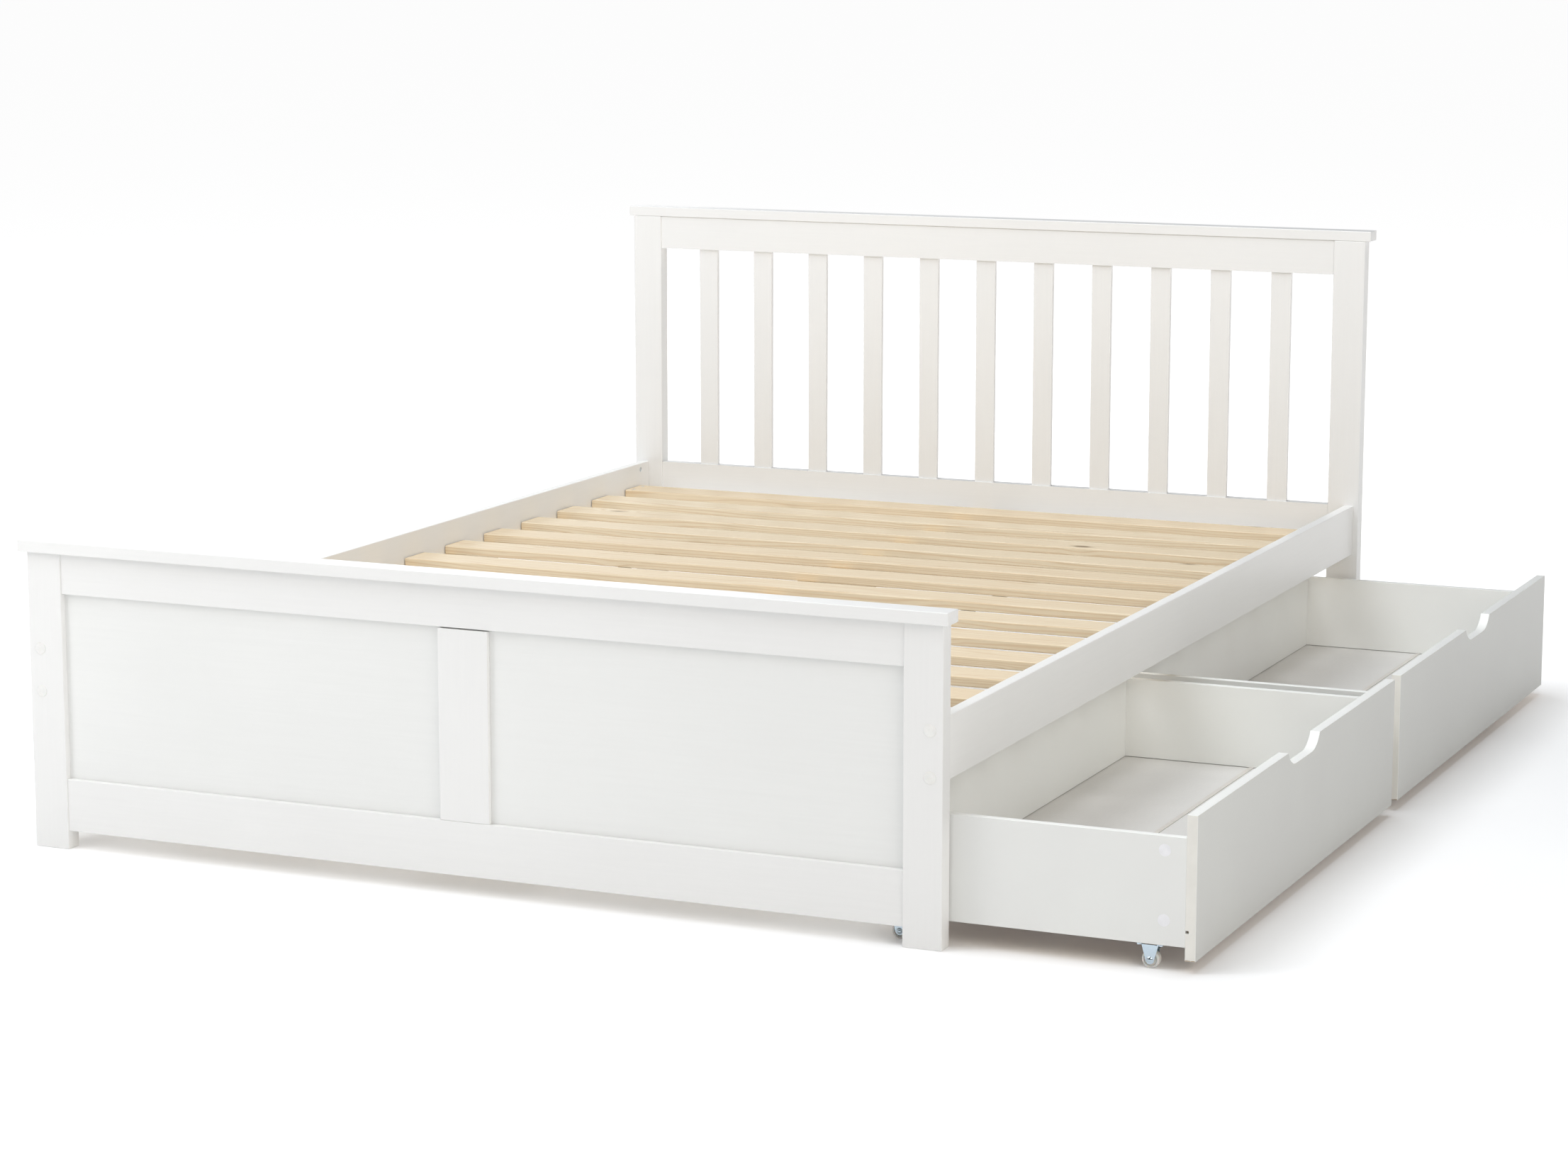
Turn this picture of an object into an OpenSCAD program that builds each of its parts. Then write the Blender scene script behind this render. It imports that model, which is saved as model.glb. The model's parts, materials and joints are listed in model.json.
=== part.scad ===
// Double bed frame of white painted wood with a slatted base and two rolling drawers.
// +X runs to the drawer side, +Y from the foot to the head, +Z up, all in millimetres.
// The origin is on the floor, under the middle of the centre leg.

/* [Bed] */
// Width over the posts
bed_w = 1470; // [1440:10:1560]
// Clear length between the foot posts and the head posts
inner_l = 2030; // [2030:10:2060]
// Height of the foot posts, without the cap board
foot_post_h = 452; // [430:1:500]
// Height of the head posts, without the cap board
head_post_h = 802; // [700:1:1000]
// Height of a post's wide face over the ground, along X
post_w = 58; // [56:1:64]
// Thickness of a post, along Y
post_t = 28; // [28:1:34]

/* [Cap boards] */
// Thickness of the cap boards
cap_t = 18; // [16:1:24]
// How far a cap board stands out past the posts' ends and outer faces
cap_over = 10; // [4:1:20]

/* [Footboard and headboard] */
// Thickness of the rails between the posts
rail_t = 23; // [20:1:24]
// Height of both top rails
top_rail_h = 62; // [56:1:80]
// Underside of the footboard's bottom rail
foot_rail_z = 28; // [20:1:40]
// Height of the footboard's bottom rail
foot_rail_h = 80; // [60:1:90]
// Thickness of the footboard's panel
panel_t = 6; // [4:1:8]
// Width of the upright battens over the panel's middle
stile_w = 80; // [60:1:100]
// Gap between the front batten and the top rail
stile_gap = 2; // [1:0.5:4]
// Number of upright slats in the headboard
head_slat_n = 11; // [9:2:13]
// Width of a headboard slat
head_slat_w = 38; // [30:1:50]
// Thickness of a headboard slat
head_slat_t = 9; // [7:1:12]
// Distance from one headboard slat to the next
head_slat_pitch = 115.5; // [90:0.5:116]

/* [Side rails and slatted base] */
// Underside of the side rails and of the headboard's lower rail
side_z = 228; // [222:1:240]
// Height of the side rails and of the headboard's lower rail
side_h = 90; // [80:1:110]
// Thickness of the side rails
side_t = 18; // [16:1:22]
// How far the side rails stand in from the posts' outer sides
side_inset = 10; // [6:1:14]
// Height of the slats' top face
slat_top_z = 275; // [270:1:290]
// Number of slats
slat_n = 14; // [12:1:16]
// Width of a slat
slat_w = 70; // [60:1:80]
// Thickness of a slat
slat_t = 15; // [12:1:18]

/* [Drawers] */
// Length of a drawer, along Y
drawer_l = 990; // [960:1:1000]
// Depth of a drawer from its front face to its back face
drawer_d = 446; // [400:1:500]
// How far the drawers stand open, measured from the closed place
drawer_open = 360; // [0:1:400]
// Underside of the drawer front
front_z = 17; // [14:1:22]
// Height of the drawer front
front_h = 200; // [180:1:205]
// Thickness of the drawer front
front_t = 15; // [15:1:18]
// Height of the drawer's side and back panels
side_panel_h = 150; // [120:1:160]
// Thickness of the drawer's side and back panels
side_panel_t = 12; // [12:1:15]
// Depth of the hand cut-out
cut_depth = 22; // [16:1:26]
// Length of the hand cut-out at the drawer's top edge
cut_w = 160; // [120:1:200]
// Length of the hand cut-out's straight bottom
cut_flat = 80; // [60:1:100]

/* [Casters] */
// Diameter of a caster's wheel
wheel_d = 25; // [22:1:28]
// Height of a caster from the floor to the top of its plate
caster_h = 35.5; // [34:0.5:40]
// Radial clearance between a wheel's bore and its axle
wheel_clear = 0.05; // [0.02:0.01:0.10]
// Distance from the front casters to the rear casters
caster_pitch = 361; // [320:1:361]

/* [Hidden] */
$fn = 48;
EPS = 0.01;

// Colours
PAINT = [0.95, 0.95, 0.94];
BOARD = [0.92, 0.93, 0.91];
HDF = [0.80, 0.79, 0.77];
PINE = [0.86, 0.72, 0.52];
ZINC = [0.70, 0.76, 0.80];
STEEL = [0.55, 0.56, 0.58];
NYLON = [0.83, 0.83, 0.80];
LILAC = [0.90, 0.90, 0.94];
TAPE = [0.90, 0.89, 0.86];

// Posts, rails and panel
x_out = bed_w / 2;
x_in = x_out - post_w;
y_in = inner_l / 2;
y_out = y_in + post_t;
y_mid = y_in + post_t / 2;
rail_y0 = y_mid - rail_t / 2;
rail_y1 = y_mid + rail_t / 2;
foot_top_z = foot_post_h - top_rail_h;
foot_rail_top = foot_rail_z + foot_rail_h;
head_top_z = head_post_h - top_rail_h;
groove_d = 8;
panel_y1 = y_out - 10.5;
panel_y0 = panel_y1 - panel_t;
head_slat_y0 = y_in + 7;
mortise_d = 10;
cap_w = post_t + cap_over;

// Side rails and base
side_x1 = x_out - side_inset;
side_x0 = side_x1 - side_t;
side_xm = (side_x0 + side_x1) / 2;
side_top = side_z + side_h;
slat_bottom_z = slat_top_z - slat_t;
ledger_w = 25;
ledger_h = 30;
ledger_x0 = side_x0 - ledger_w;
ledger_z0 = slat_bottom_z - ledger_h;
ledger_end_gap = 5;
slat_pitch = inner_l / slat_n;
slat_end_gap = 2;
strap_x = 350;
strap_w = 25;
strap_t = 1;
beam_w = 40;
beam_h = 50;
beam_z0 = slat_bottom_z - beam_h;
bracket_t = 2;
bracket_w = 76;
bracket_l = 40;
beam_y = rail_y0 - bracket_t;

// Bolted corners
bolt_zs = [side_z + 12.5, side_top - 12.5];
bolt_r = 3;
bolt_head_r = 7;
bolt_head_t = 5;
bolt_l = 70;
recess_r = 8.5;
recess_d = 8;
plug_t = 3;
plug_lip_r = 9;
plug_lip_t = 1.2;
nut_r = 5;
nut_l = 15;
nut_y = y_in - 35;

// Dowels and screws
dowel_r = 4;
dowel_half = 25;
cap_dowel_x = side_xm;
cap_dowel_xs = [-cap_dowel_x, -400, 0, 400, cap_dowel_x];
cap_dowel_down = 20;
cap_dowel_up = 12;
screw_r = 2;
screw_head_r = 4;
screw_head_h = 2.5;
ledger_screw_n = 7;
ledger_screw_pitch = 300;
ledger_screw_l = 38;
slat_screw_l = 35;
slat_screw_y = 20;
bracket_screw_x = 31;
bracket_screw_zs = [236, 254];
bracket_screw_l = 11;
cheek_screw_y = y_in - 20;
cheek_screw_l = 16;

// Drawers: each is drawn from its foot end at y = 0 and moved into place
near_y = -y_in + 3;
far_y = near_y + drawer_l + 35;
front_x1 = side_x1 + drawer_open;
front_x0 = front_x1 - front_t;
back_x0 = front_x1 - drawer_d;
back_x1 = back_x0 + side_panel_t;
side_panel_z0 = caster_h;
side_panel_z1 = side_panel_z0 + side_panel_h;
cut_r = (pow((cut_w - cut_flat) / 2, 2) + pow(cut_depth, 2)) / (2 * cut_depth);
bottom_z0 = 55;
bottom_t = 3;
bottom_z1 = bottom_z0 + bottom_t;
bottom_groove = 5;
groove_play = 1;
groove_top = bottom_z1 + groove_play;
bottom_seam_x = (back_x1 + front_x0) / 2;
web_t = 1;
joiner_t = 1.2;
joiner_top_w = 7.5;
joiner_low_w = 17;
cleat_w = 18;
cam_x = front_x1 - 45;
cam_zs = [side_panel_z0 + 34.5, side_panel_z0 + 130.5];
cam_r = 7.5;
cam_l = 9.5;
pin_r = 3;
pin_depth = 10;
disc_r = 8.5;
disc_t = 0.4;
back_screw_zs = [side_panel_z0 + 40, side_panel_z0 + 115];
back_screw_l = 45;

// Casters
caster_y = 12.5;
caster_front_x = front_x1 - 65;
caster_xs = [caster_front_x, caster_front_x - caster_pitch];
caster_ys = [caster_y, drawer_l - caster_y];
plate_l = 38;
plate_w = 24;
plate_t = 2;
plate_z0 = caster_h - plate_t;
fork_w = 17;
cheek_t = 1.5;
cheek_top_w = 25;
cheek_end_r = 6;
axle_r = 2.5;
rivet_r = 4.5;
rivet_h = 1.8;
wheel_r = wheel_d / 2;
wheel_w = 12;
hub_w = 13;
hub_r = 5.5;
tread_round = 1.5;
web_recess = 1.5;
web_r0 = 5.5;
web_r1 = 9;
plate_screw_x = 15.8;
plate_screw_y = 8;
plate_screw_r = 1.5;
plate_screw_head_r = 2.8;
plate_screw_head_h = 1.2;
plate_screw_l = 12;

// A board from its lowest corner to its highest corner
module board(low, high) {
  translate(low) cube(high - low);
}

// A rod from one end along an axis
module rod_x(x0, x1, y, z, r) {
  translate([x0, y, z]) rotate([0, 90, 0]) cylinder(h = x1 - x0, r = r);
}

module rod_y(x, y0, y1, z, r) {
  translate([x, y1, z]) rotate([90, 0, 0]) cylinder(h = y1 - y0, r = r);
}

module rod_z(x, y, z0, z1, r) {
  translate([x, y, z0]) cylinder(h = z1 - z0, r = r);
}

// Its children and their mirror image across the plane x = 0
module both_sides() {
  children();
  mirror([1, 0, 0]) children();
}

// Its children, drawn at the head end, and their mirror image at the foot end
module both_ends() {
  children();
  mirror([0, 1, 0]) children();
}

// A countersunk screw along -Z with its head flush with z = 0
module screw(l, r = screw_r, head_r = screw_head_r, head_h = screw_head_h) {
  translate([0, 0, -head_h]) cylinder(h = head_h, r1 = r, r2 = head_r);
  translate([0, 0, -l]) cylinder(h = l - head_h, r = r);
}

// Bolts, nuts and plugs of the right-hand head corner
module corner_bolt(z) {
  difference() {
    union() {
      rod_y(side_xm, y_out - recess_d, y_out - recess_d + bolt_head_t, z, bolt_head_r);
      rod_y(side_xm, y_out - recess_d - bolt_l, y_out - recess_d, z, bolt_r);
    }
    translate([side_xm, y_out - recess_d + bolt_head_t, z])
      rotate([90, 0, 0]) cylinder(h = 3, r = 2.9, $fn = 6);
  }
}

module bolt_hole(z) {
  rod_y(side_xm, y_out - recess_d - bolt_l, y_out, z, bolt_r);
  rod_y(side_xm, y_out - recess_d, y_out + 1, z, recess_r);
}

module barrel_nut(z) {
  difference() {
    rod_x(side_x0 + 1, side_x0 + 1 + nut_l, nut_y, z, nut_r);
    rod_y(side_xm, nut_y - 10, nut_y + 10, z, bolt_r);
  }
}

module nut_hole(z) {
  rod_x(side_x0 - 1, side_x0 + 1 + nut_l, nut_y, z, nut_r);
}

module bolt_plug(z) {
  rod_y(side_xm, y_out - plug_t, y_out, z, recess_r);
  rod_y(side_xm, y_out, y_out + plug_lip_t, z, plug_lip_r);
}

// Dowels that join a rail to the right-hand post of an end
module rail_dowels(z0, z1, y) {
  for (z = [z0, z1]) rod_x(x_in - dowel_half, x_in + dowel_half, y, z, dowel_r);
}

module foot_dowels() {
  rail_dowels(foot_rail_z + 20, foot_rail_z + 60, -y_mid);
  rail_dowels(foot_top_z + 15, foot_post_h - 15, -y_mid);
}

module head_dowels() {
  rail_dowels(side_z + 22, side_z + 62, y_mid);
  rail_dowels(head_top_z + 15, head_post_h - 15, y_mid);
}

module cap_dowels(y, z) {
  for (x = cap_dowel_xs) rod_z(x, y, z - cap_dowel_down, z + cap_dowel_up, dowel_r);
}

module leg_dowel() {
  rod_z(0, 0, beam_z0 - dowel_half, beam_z0 + dowel_half, dowel_r);
}

// Screws of the slatted base
module ledger_screws() {
  for (i = [0 : ledger_screw_n - 1])
    translate([ledger_x0, (i - (ledger_screw_n - 1) / 2) * ledger_screw_pitch, ledger_z0 + 15])
      rotate([0, -90, 0]) screw(ledger_screw_l);
}

module slat_screws() {
  for (y = [-slat_screw_y, slat_screw_y])
    translate([ledger_x0 + ledger_w / 2, y_in - slat_pitch / 2 + y, slat_top_z])
      screw(slat_screw_l);
}

module bracket_screws() {
  for (z = bracket_screw_zs)
    translate([bracket_screw_x, beam_y, z]) rotate([90, 0, 0]) screw(bracket_screw_l);
  translate([beam_w / 2 + bracket_t, cheek_screw_y, beam_z0 + 20])
    rotate([0, 90, 0]) screw(cheek_screw_l);
}

// Footboard
module foot_post(side) {
  color(PAINT) scale([side, 1, 1]) difference() {
    board([x_in, -y_out, 0], [x_out, -y_in, foot_post_h]);
    board([x_in - 1, -panel_y1, foot_rail_top - groove_d],
          [x_in + groove_d, -panel_y0, foot_top_z + groove_d]);
    for (z = bolt_zs) mirror([0, 1, 0]) bolt_hole(z);
    foot_dowels();
    cap_dowels(-y_mid, foot_post_h);
  }
}

module foot_cap() {
  color(PAINT) difference() {
    board([-x_out - cap_over, -y_in - cap_w, foot_post_h],
          [x_out + cap_over, -y_in, foot_post_h + cap_t]);
    cap_dowels(-y_mid, foot_post_h);
  }
}

module foot_top_rail() {
  color(PAINT) difference() {
    board([-x_in, -rail_y1, foot_top_z], [x_in, -rail_y0, foot_post_h]);
    board([-x_in - 1, -panel_y1, foot_top_z - 1], [x_in + 1, -panel_y0, foot_top_z + groove_d]);
    both_sides() foot_dowels();
    cap_dowels(-y_mid, foot_post_h);
  }
}

module foot_bottom_rail() {
  color(PAINT) difference() {
    board([-x_in, -rail_y1, foot_rail_z], [x_in, -rail_y0, foot_rail_top]);
    board([-x_in - 1, -panel_y1, foot_rail_top - groove_d],
          [x_in + 1, -panel_y0, foot_rail_top + 1]);
    both_sides() foot_dowels();
  }
}

module foot_panel() {
  color(BOARD) board([-x_in - groove_d, -panel_y1, foot_rail_top - groove_d],
                     [x_in + groove_d, -panel_y0, foot_top_z + groove_d]);
}

module foot_stile() {
  color(PAINT) board([-stile_w / 2, -rail_y1, foot_rail_top],
                     [stile_w / 2, -panel_y1, foot_top_z - stile_gap]);
}

module foot_back_stile() {
  color(PAINT) difference() {
    board([-stile_w / 2, -panel_y0, foot_rail_top], [stile_w / 2, -rail_y0, foot_top_z]);
    both_sides() mirror([0, 1, 0]) bracket_screws();
  }
}

// Headboard
module head_slat_solids() {
  for (i = [0 : head_slat_n - 1])
    translate([(i - (head_slat_n - 1) / 2) * head_slat_pitch, 0, 0])
      board([-head_slat_w / 2, head_slat_y0, side_top - mortise_d],
            [head_slat_w / 2, head_slat_y0 + head_slat_t, head_top_z + mortise_d]);
}

module head_post(side) {
  color(PAINT) scale([side, 1, 1]) difference() {
    board([x_in, y_in, 0], [x_out, y_out, head_post_h]);
    for (z = bolt_zs) bolt_hole(z);
    head_dowels();
    cap_dowels(y_mid, head_post_h);
  }
}

module head_cap() {
  color(PAINT) difference() {
    board([-x_out - cap_over, y_in, head_post_h],
          [x_out + cap_over, y_in + cap_w, head_post_h + cap_t]);
    cap_dowels(y_mid, head_post_h);
  }
}

module head_top_rail() {
  color(PAINT) difference() {
    board([-x_in, rail_y0, head_top_z], [x_in, rail_y1, head_post_h]);
    head_slat_solids();
    both_sides() head_dowels();
    cap_dowels(y_mid, head_post_h);
  }
}

module head_lower_rail() {
  color(PAINT) difference() {
    board([-x_in, rail_y0, side_z], [x_in, rail_y1, side_top]);
    head_slat_solids();
    both_sides() {
      head_dowels();
      bracket_screws();
    }
  }
}

module head_slats() {
  color(PAINT) head_slat_solids();
}

// Side rails and slatted base
module side_rail(side) {
  color(PAINT) scale([side, 1, 1]) difference() {
    board([side_x0, -y_in, side_z], [side_x1, y_in, side_top]);
    both_ends() for (z = bolt_zs) {
      bolt_hole(z);
      nut_hole(z);
    }
    ledger_screws();
  }
}

module slat_ledger(side) {
  color(PINE) scale([side, 1, 1]) difference() {
    board([ledger_x0, -y_in + ledger_end_gap, ledger_z0],
          [side_x0, y_in - ledger_end_gap, slat_bottom_z]);
    ledger_screws();
    both_ends() slat_screws();
  }
}

module centre_beam() {
  color(PINE) difference() {
    board([-beam_w / 2, -beam_y, beam_z0], [beam_w / 2, beam_y, slat_bottom_z]);
    leg_dowel();
    both_ends() both_sides() bracket_screws();
  }
}

module beam_bracket() {
  difference() {
    union() {
      board([-bracket_w / 2, beam_y, beam_z0 - bracket_t],
            [bracket_w / 2, rail_y0, slat_bottom_z]);
      board([-beam_w / 2 - bracket_t, beam_y - bracket_l, beam_z0 - bracket_t],
            [beam_w / 2 + bracket_t, beam_y + EPS, beam_z0]);
      both_sides() board([beam_w / 2, beam_y - bracket_l, beam_z0 - bracket_t],
                         [beam_w / 2 + bracket_t, beam_y + EPS, slat_bottom_z - 10]);
    }
    both_sides() bracket_screws();
  }
}

module beam_brackets() {
  color(ZINC) both_ends() beam_bracket();
}

module centre_leg() {
  color(PINE) difference() {
    board([-beam_w / 2, -beam_w / 2, 0], [beam_w / 2, beam_w / 2, beam_z0]);
    leg_dowel();
  }
}

module bed_slats() {
  color(PINE) difference() {
    for (i = [0 : slat_n - 1])
      translate([0, -y_in + (i + 0.5) * slat_pitch, 0])
        board([-side_x0 + slat_end_gap, -slat_w / 2, slat_bottom_z],
              [side_x0 - slat_end_gap, slat_w / 2, slat_top_z]);
    both_ends() both_sides() slat_screws();
  }
}

module slat_straps() {
  strap_y = y_in - (slat_pitch - slat_w) / 2;
  color(TAPE) both_sides()
    board([strap_x - strap_w / 2, -strap_y, slat_bottom_z - strap_t],
          [strap_x + strap_w / 2, strap_y, slat_bottom_z]);
}

// Fittings of the frame
module corner_bolts() {
  color(STEEL) both_ends() both_sides() for (z = bolt_zs) corner_bolt(z);
}

module barrel_nuts() {
  color(ZINC) both_ends() both_sides() for (z = bolt_zs) barrel_nut(z);
}

module bolt_plugs() {
  color(PAINT) both_ends() both_sides() for (z = bolt_zs) bolt_plug(z);
}

module frame_dowels() {
  color(PINE) {
    both_sides() {
      foot_dowels();
      head_dowels();
    }
    cap_dowels(-y_mid, foot_post_h);
    cap_dowels(y_mid, head_post_h);
    leg_dowel();
  }
}

module frame_screws() {
  color(ZINC) both_sides() {
    ledger_screws();
    both_ends() {
      slat_screws();
      bracket_screws();
    }
  }
}

// Drawer pieces, from the drawer's foot end at y0
module hand_cut() {
  mid = drawer_l / 2;
  low = front_z + front_h - cut_depth;
  board([front_x0 - 1, mid - cut_flat / 2, low], [front_x1 + 1, mid + cut_flat / 2, low + 60]);
  for (s = [-1, 1])
    rod_x(front_x0 - 1, front_x1 + 1, mid + s * cut_flat / 2, low + cut_r, cut_r, $fn = 96);
}

module cam_pins() {
  for (y = [side_panel_t / 2, drawer_l - side_panel_t / 2], z = cam_zs)
    rod_x(cam_x, front_x0 + pin_depth, y, z, pin_r);
}

module cam_bodies() {
  for (z = cam_zs) {
    rod_y(cam_x, 0, cam_l, z, cam_r);
    rod_y(cam_x, drawer_l - cam_l, drawer_l, z, cam_r);
  }
}

module back_screws() {
  for (z = back_screw_zs) {
    translate([back_x0 + side_panel_t / 2, 0, z]) rotate([90, 0, 0]) screw(back_screw_l);
    translate([back_x0 + side_panel_t / 2, drawer_l, z]) rotate([-90, 0, 0]) screw(back_screw_l);
  }
}

module caster_screws() {
  for (x = caster_xs, y = caster_ys, sx = [-1, 1], sy = [-1, 1]) {
    rod_z(x + sx * plate_screw_x, y + sy * plate_screw_y, plate_z0, caster_h + plate_screw_l,
          plate_screw_r);
    rod_z(x + sx * plate_screw_x, y + sy * plate_screw_y, plate_z0 - plate_screw_head_h, plate_z0,
          plate_screw_head_r);
  }
}

module drawer_front(y0) {
  color(BOARD) translate([0, y0, 0]) difference() {
    board([front_x0, 0, front_z], [front_x1, drawer_l, front_z + front_h]);
    hand_cut();
    board([front_x0 - 1, -1, bottom_z0], [front_x0 + bottom_groove, drawer_l + 1, groove_top]);
    cam_pins();
  }
}

module drawer_side(y0, y_low) {
  groove_y = y_low == 0 ? side_panel_t - bottom_groove : y_low - 1;
  color(BOARD) translate([0, y0, 0]) difference() {
    board([back_x0, y_low, side_panel_z0], [front_x0, y_low + side_panel_t, side_panel_z1]);
    board([back_x0 - 1, groove_y, bottom_z0],
          [front_x0 + 1, groove_y + bottom_groove + 1, groove_top]);
    cam_bodies();
    cam_pins();
    back_screws();
    caster_screws();
  }
}

module drawer_back(y0) {
  color(BOARD) translate([0, y0, 0]) difference() {
    board([back_x0, side_panel_t, side_panel_z0],
          [back_x1, drawer_l - side_panel_t, side_panel_z1]);
    board([back_x1 - bottom_groove, 0, bottom_z0], [back_x1 + 1, drawer_l, groove_top]);
    back_screws();
    caster_screws();
  }
}

module drawer_bottoms(y0) {
  in_y = side_panel_t - bottom_groove;
  color(HDF) translate([0, y0, 0]) {
    board([back_x1 - bottom_groove, in_y, bottom_z0],
          [bottom_seam_x - web_t / 2, drawer_l - in_y, bottom_z1]);
    board([bottom_seam_x + web_t / 2, in_y, bottom_z0],
          [front_x0 + bottom_groove, drawer_l - in_y, bottom_z1]);
  }
}

module drawer_joiner(y0) {
  color(TAPE) translate([bottom_seam_x, y0, 0]) {
    board([-joiner_top_w / 2, side_panel_t, bottom_z1],
          [joiner_top_w / 2, drawer_l - side_panel_t, bottom_z1 + joiner_t]);
    board([-web_t / 2, side_panel_t, bottom_z0 - EPS],
          [web_t / 2, drawer_l - side_panel_t, bottom_z1 + EPS]);
    board([-joiner_low_w / 2, side_panel_t + cleat_w, bottom_z0 - joiner_t],
          [joiner_low_w / 2, drawer_l - side_panel_t - cleat_w, bottom_z0]);
  }
}

module drawer_cleats(y0) {
  color(PINE) translate([0, y0, 0]) difference() {
    for (y = [side_panel_t, drawer_l - side_panel_t - cleat_w])
      board([back_x1, y, side_panel_z0], [front_x0, y + cleat_w, bottom_z0]);
    caster_screws();
  }
}

module drawer_cams(y0) {
  color(ZINC) translate([0, y0, 0]) difference() {
    cam_bodies();
    cam_pins();
  }
}

module drawer_cover_discs(y0) {
  color(LILAC) translate([0, y0, 0]) for (z = cam_zs) {
    rod_y(cam_x, -disc_t, 0, z, disc_r);
    rod_y(cam_x, drawer_l, drawer_l + disc_t, z, disc_r);
  }
}

module drawer_screws(y0) {
  color(ZINC) translate([0, y0, 0]) {
    cam_pins();
    back_screws();
    caster_screws();
  }
}

// Casters: a folded plate with two tapering cheeks, a riveted axle and a nylon wheel
module cheek_outline() {
  top = plate_z0 - wheel_r;
  reach = sqrt(pow(cheek_top_w / 2, 2) + pow(top, 2));
  turn = atan2(top, cheek_top_w / 2) - acos(cheek_end_r / reach);
  tangent = [cheek_end_r * cos(turn), cheek_end_r * sin(turn)];
  circle(cheek_end_r);
  polygon([[-cheek_top_w / 2, top], [cheek_top_w / 2, top], tangent, [-tangent[0], tangent[1]]]);
}

module caster_bracket() {
  difference() {
    union() {
      board([-plate_l / 2, -plate_w / 2, plate_z0], [plate_l / 2, plate_w / 2, caster_h]);
      for (y = [-fork_w / 2 + cheek_t, fork_w / 2])
        translate([0, y, wheel_r]) rotate([90, 0, 0])
          linear_extrude(cheek_t) cheek_outline();
    }
    rod_y(0, -fork_w, fork_w, wheel_r, axle_r);
  }
}

module rivet_dome() {
  dome_r = (pow(rivet_r, 2) + pow(rivet_h, 2)) / (2 * rivet_h);
  intersection() {
    translate([0, 0, rivet_h - dome_r]) sphere(dome_r);
    cylinder(h = rivet_h, r = rivet_r + 1);
  }
}

module caster_axle() {
  translate([0, 0, wheel_r]) {
    rod_y(0, -fork_w / 2, fork_w / 2, 0, axle_r);
    translate([0, -fork_w / 2, 0]) rotate([90, 0, 0]) rivet_dome();
    translate([0, fork_w / 2, 0]) rotate([-90, 0, 0]) rivet_dome();
  }
}

module wheel_outline() {
  bore_r = axle_r + wheel_clear;
  difference() {
    union() {
      translate([bore_r, -hub_w / 2]) square([hub_r - bore_r, hub_w]);
      translate([bore_r, -wheel_w / 2]) square([wheel_r - tread_round - bore_r, wheel_w]);
      translate([bore_r, tread_round - wheel_w / 2])
        square([wheel_r - bore_r, wheel_w - 2 * tread_round]);
      for (s = [-1, 1])
        translate([wheel_r - tread_round, s * (wheel_w / 2 - tread_round)]) circle(tread_round);
    }
    for (s = [-1, 1]) translate([web_r0, s * wheel_w / 2 - web_recess])
      square([web_r1 - web_r0, 2 * web_recess]);
  }
}

module drawer_wheel(y0, row, end) {
  color(NYLON) translate([caster_xs[row], y0 + caster_ys[end], wheel_r])
    rotate([90, 0, 0]) rotate_extrude() wheel_outline();
}

module at_casters(y0) {
  for (x = caster_xs, y = caster_ys) translate([x, y0 + y, 0]) children();
}

module drawer_caster_brackets(y0) {
  color(ZINC) difference() {
    at_casters(y0) caster_bracket();
    translate([0, y0, 0]) caster_screws();
  }
}

module drawer_caster_axles(y0) {
  color(ZINC) at_casters(y0) caster_axle();
}

foot_post(-1);  // foot_post_left
foot_post(1);  // foot_post_right
foot_cap();
foot_top_rail();
foot_bottom_rail();
foot_panel();
foot_stile();
foot_back_stile();
head_post(-1);  // head_post_left
head_post(1);  // head_post_right
head_cap();
head_top_rail();
head_lower_rail();
head_slats();
side_rail(-1);  // side_rail_left
side_rail(1);  // side_rail_right
slat_ledger(-1);  // slat_ledger_left
slat_ledger(1);  // slat_ledger_right
centre_beam();
beam_brackets();
centre_leg();
bed_slats();
slat_straps();
corner_bolts();
barrel_nuts();
bolt_plugs();
frame_dowels();
frame_screws();
drawer_front(near_y);  // near_front
drawer_side(near_y, 0);  // near_side_foot
drawer_side(near_y, drawer_l - side_panel_t);  // near_side_head
drawer_back(near_y);  // near_back
drawer_bottoms(near_y);  // near_bottoms
drawer_joiner(near_y);  // near_joiner
drawer_cleats(near_y);  // near_cleats
drawer_cams(near_y);  // near_cams
drawer_cover_discs(near_y);  // near_cover_discs
drawer_screws(near_y);  // near_screws
drawer_caster_brackets(near_y);  // near_caster_brackets
drawer_caster_axles(near_y);  // near_caster_axles
drawer_wheel(near_y, 0, 0);  // near_wheel_front_foot
drawer_wheel(near_y, 0, 1);  // near_wheel_front_head
drawer_wheel(near_y, 1, 0);  // near_wheel_rear_foot
drawer_wheel(near_y, 1, 1);  // near_wheel_rear_head
drawer_front(far_y);  // far_front
drawer_side(far_y, 0);  // far_side_foot
drawer_side(far_y, drawer_l - side_panel_t);  // far_side_head
drawer_back(far_y);  // far_back
drawer_bottoms(far_y);  // far_bottoms
drawer_joiner(far_y);  // far_joiner
drawer_cleats(far_y);  // far_cleats
drawer_cams(far_y);  // far_cams
drawer_cover_discs(far_y);  // far_cover_discs
drawer_screws(far_y);  // far_screws
drawer_caster_brackets(far_y);  // far_caster_brackets
drawer_caster_axles(far_y);  // far_caster_axles
drawer_wheel(far_y, 0, 0);  // far_wheel_front_foot
drawer_wheel(far_y, 0, 1);  // far_wheel_front_head
drawer_wheel(far_y, 1, 0);  // far_wheel_rear_foot
drawer_wheel(far_y, 1, 1);  // far_wheel_rear_head
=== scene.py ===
"""Looks of a white painted double bed frame with two rolling drawers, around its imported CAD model."""
import json
import math
import random

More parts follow.
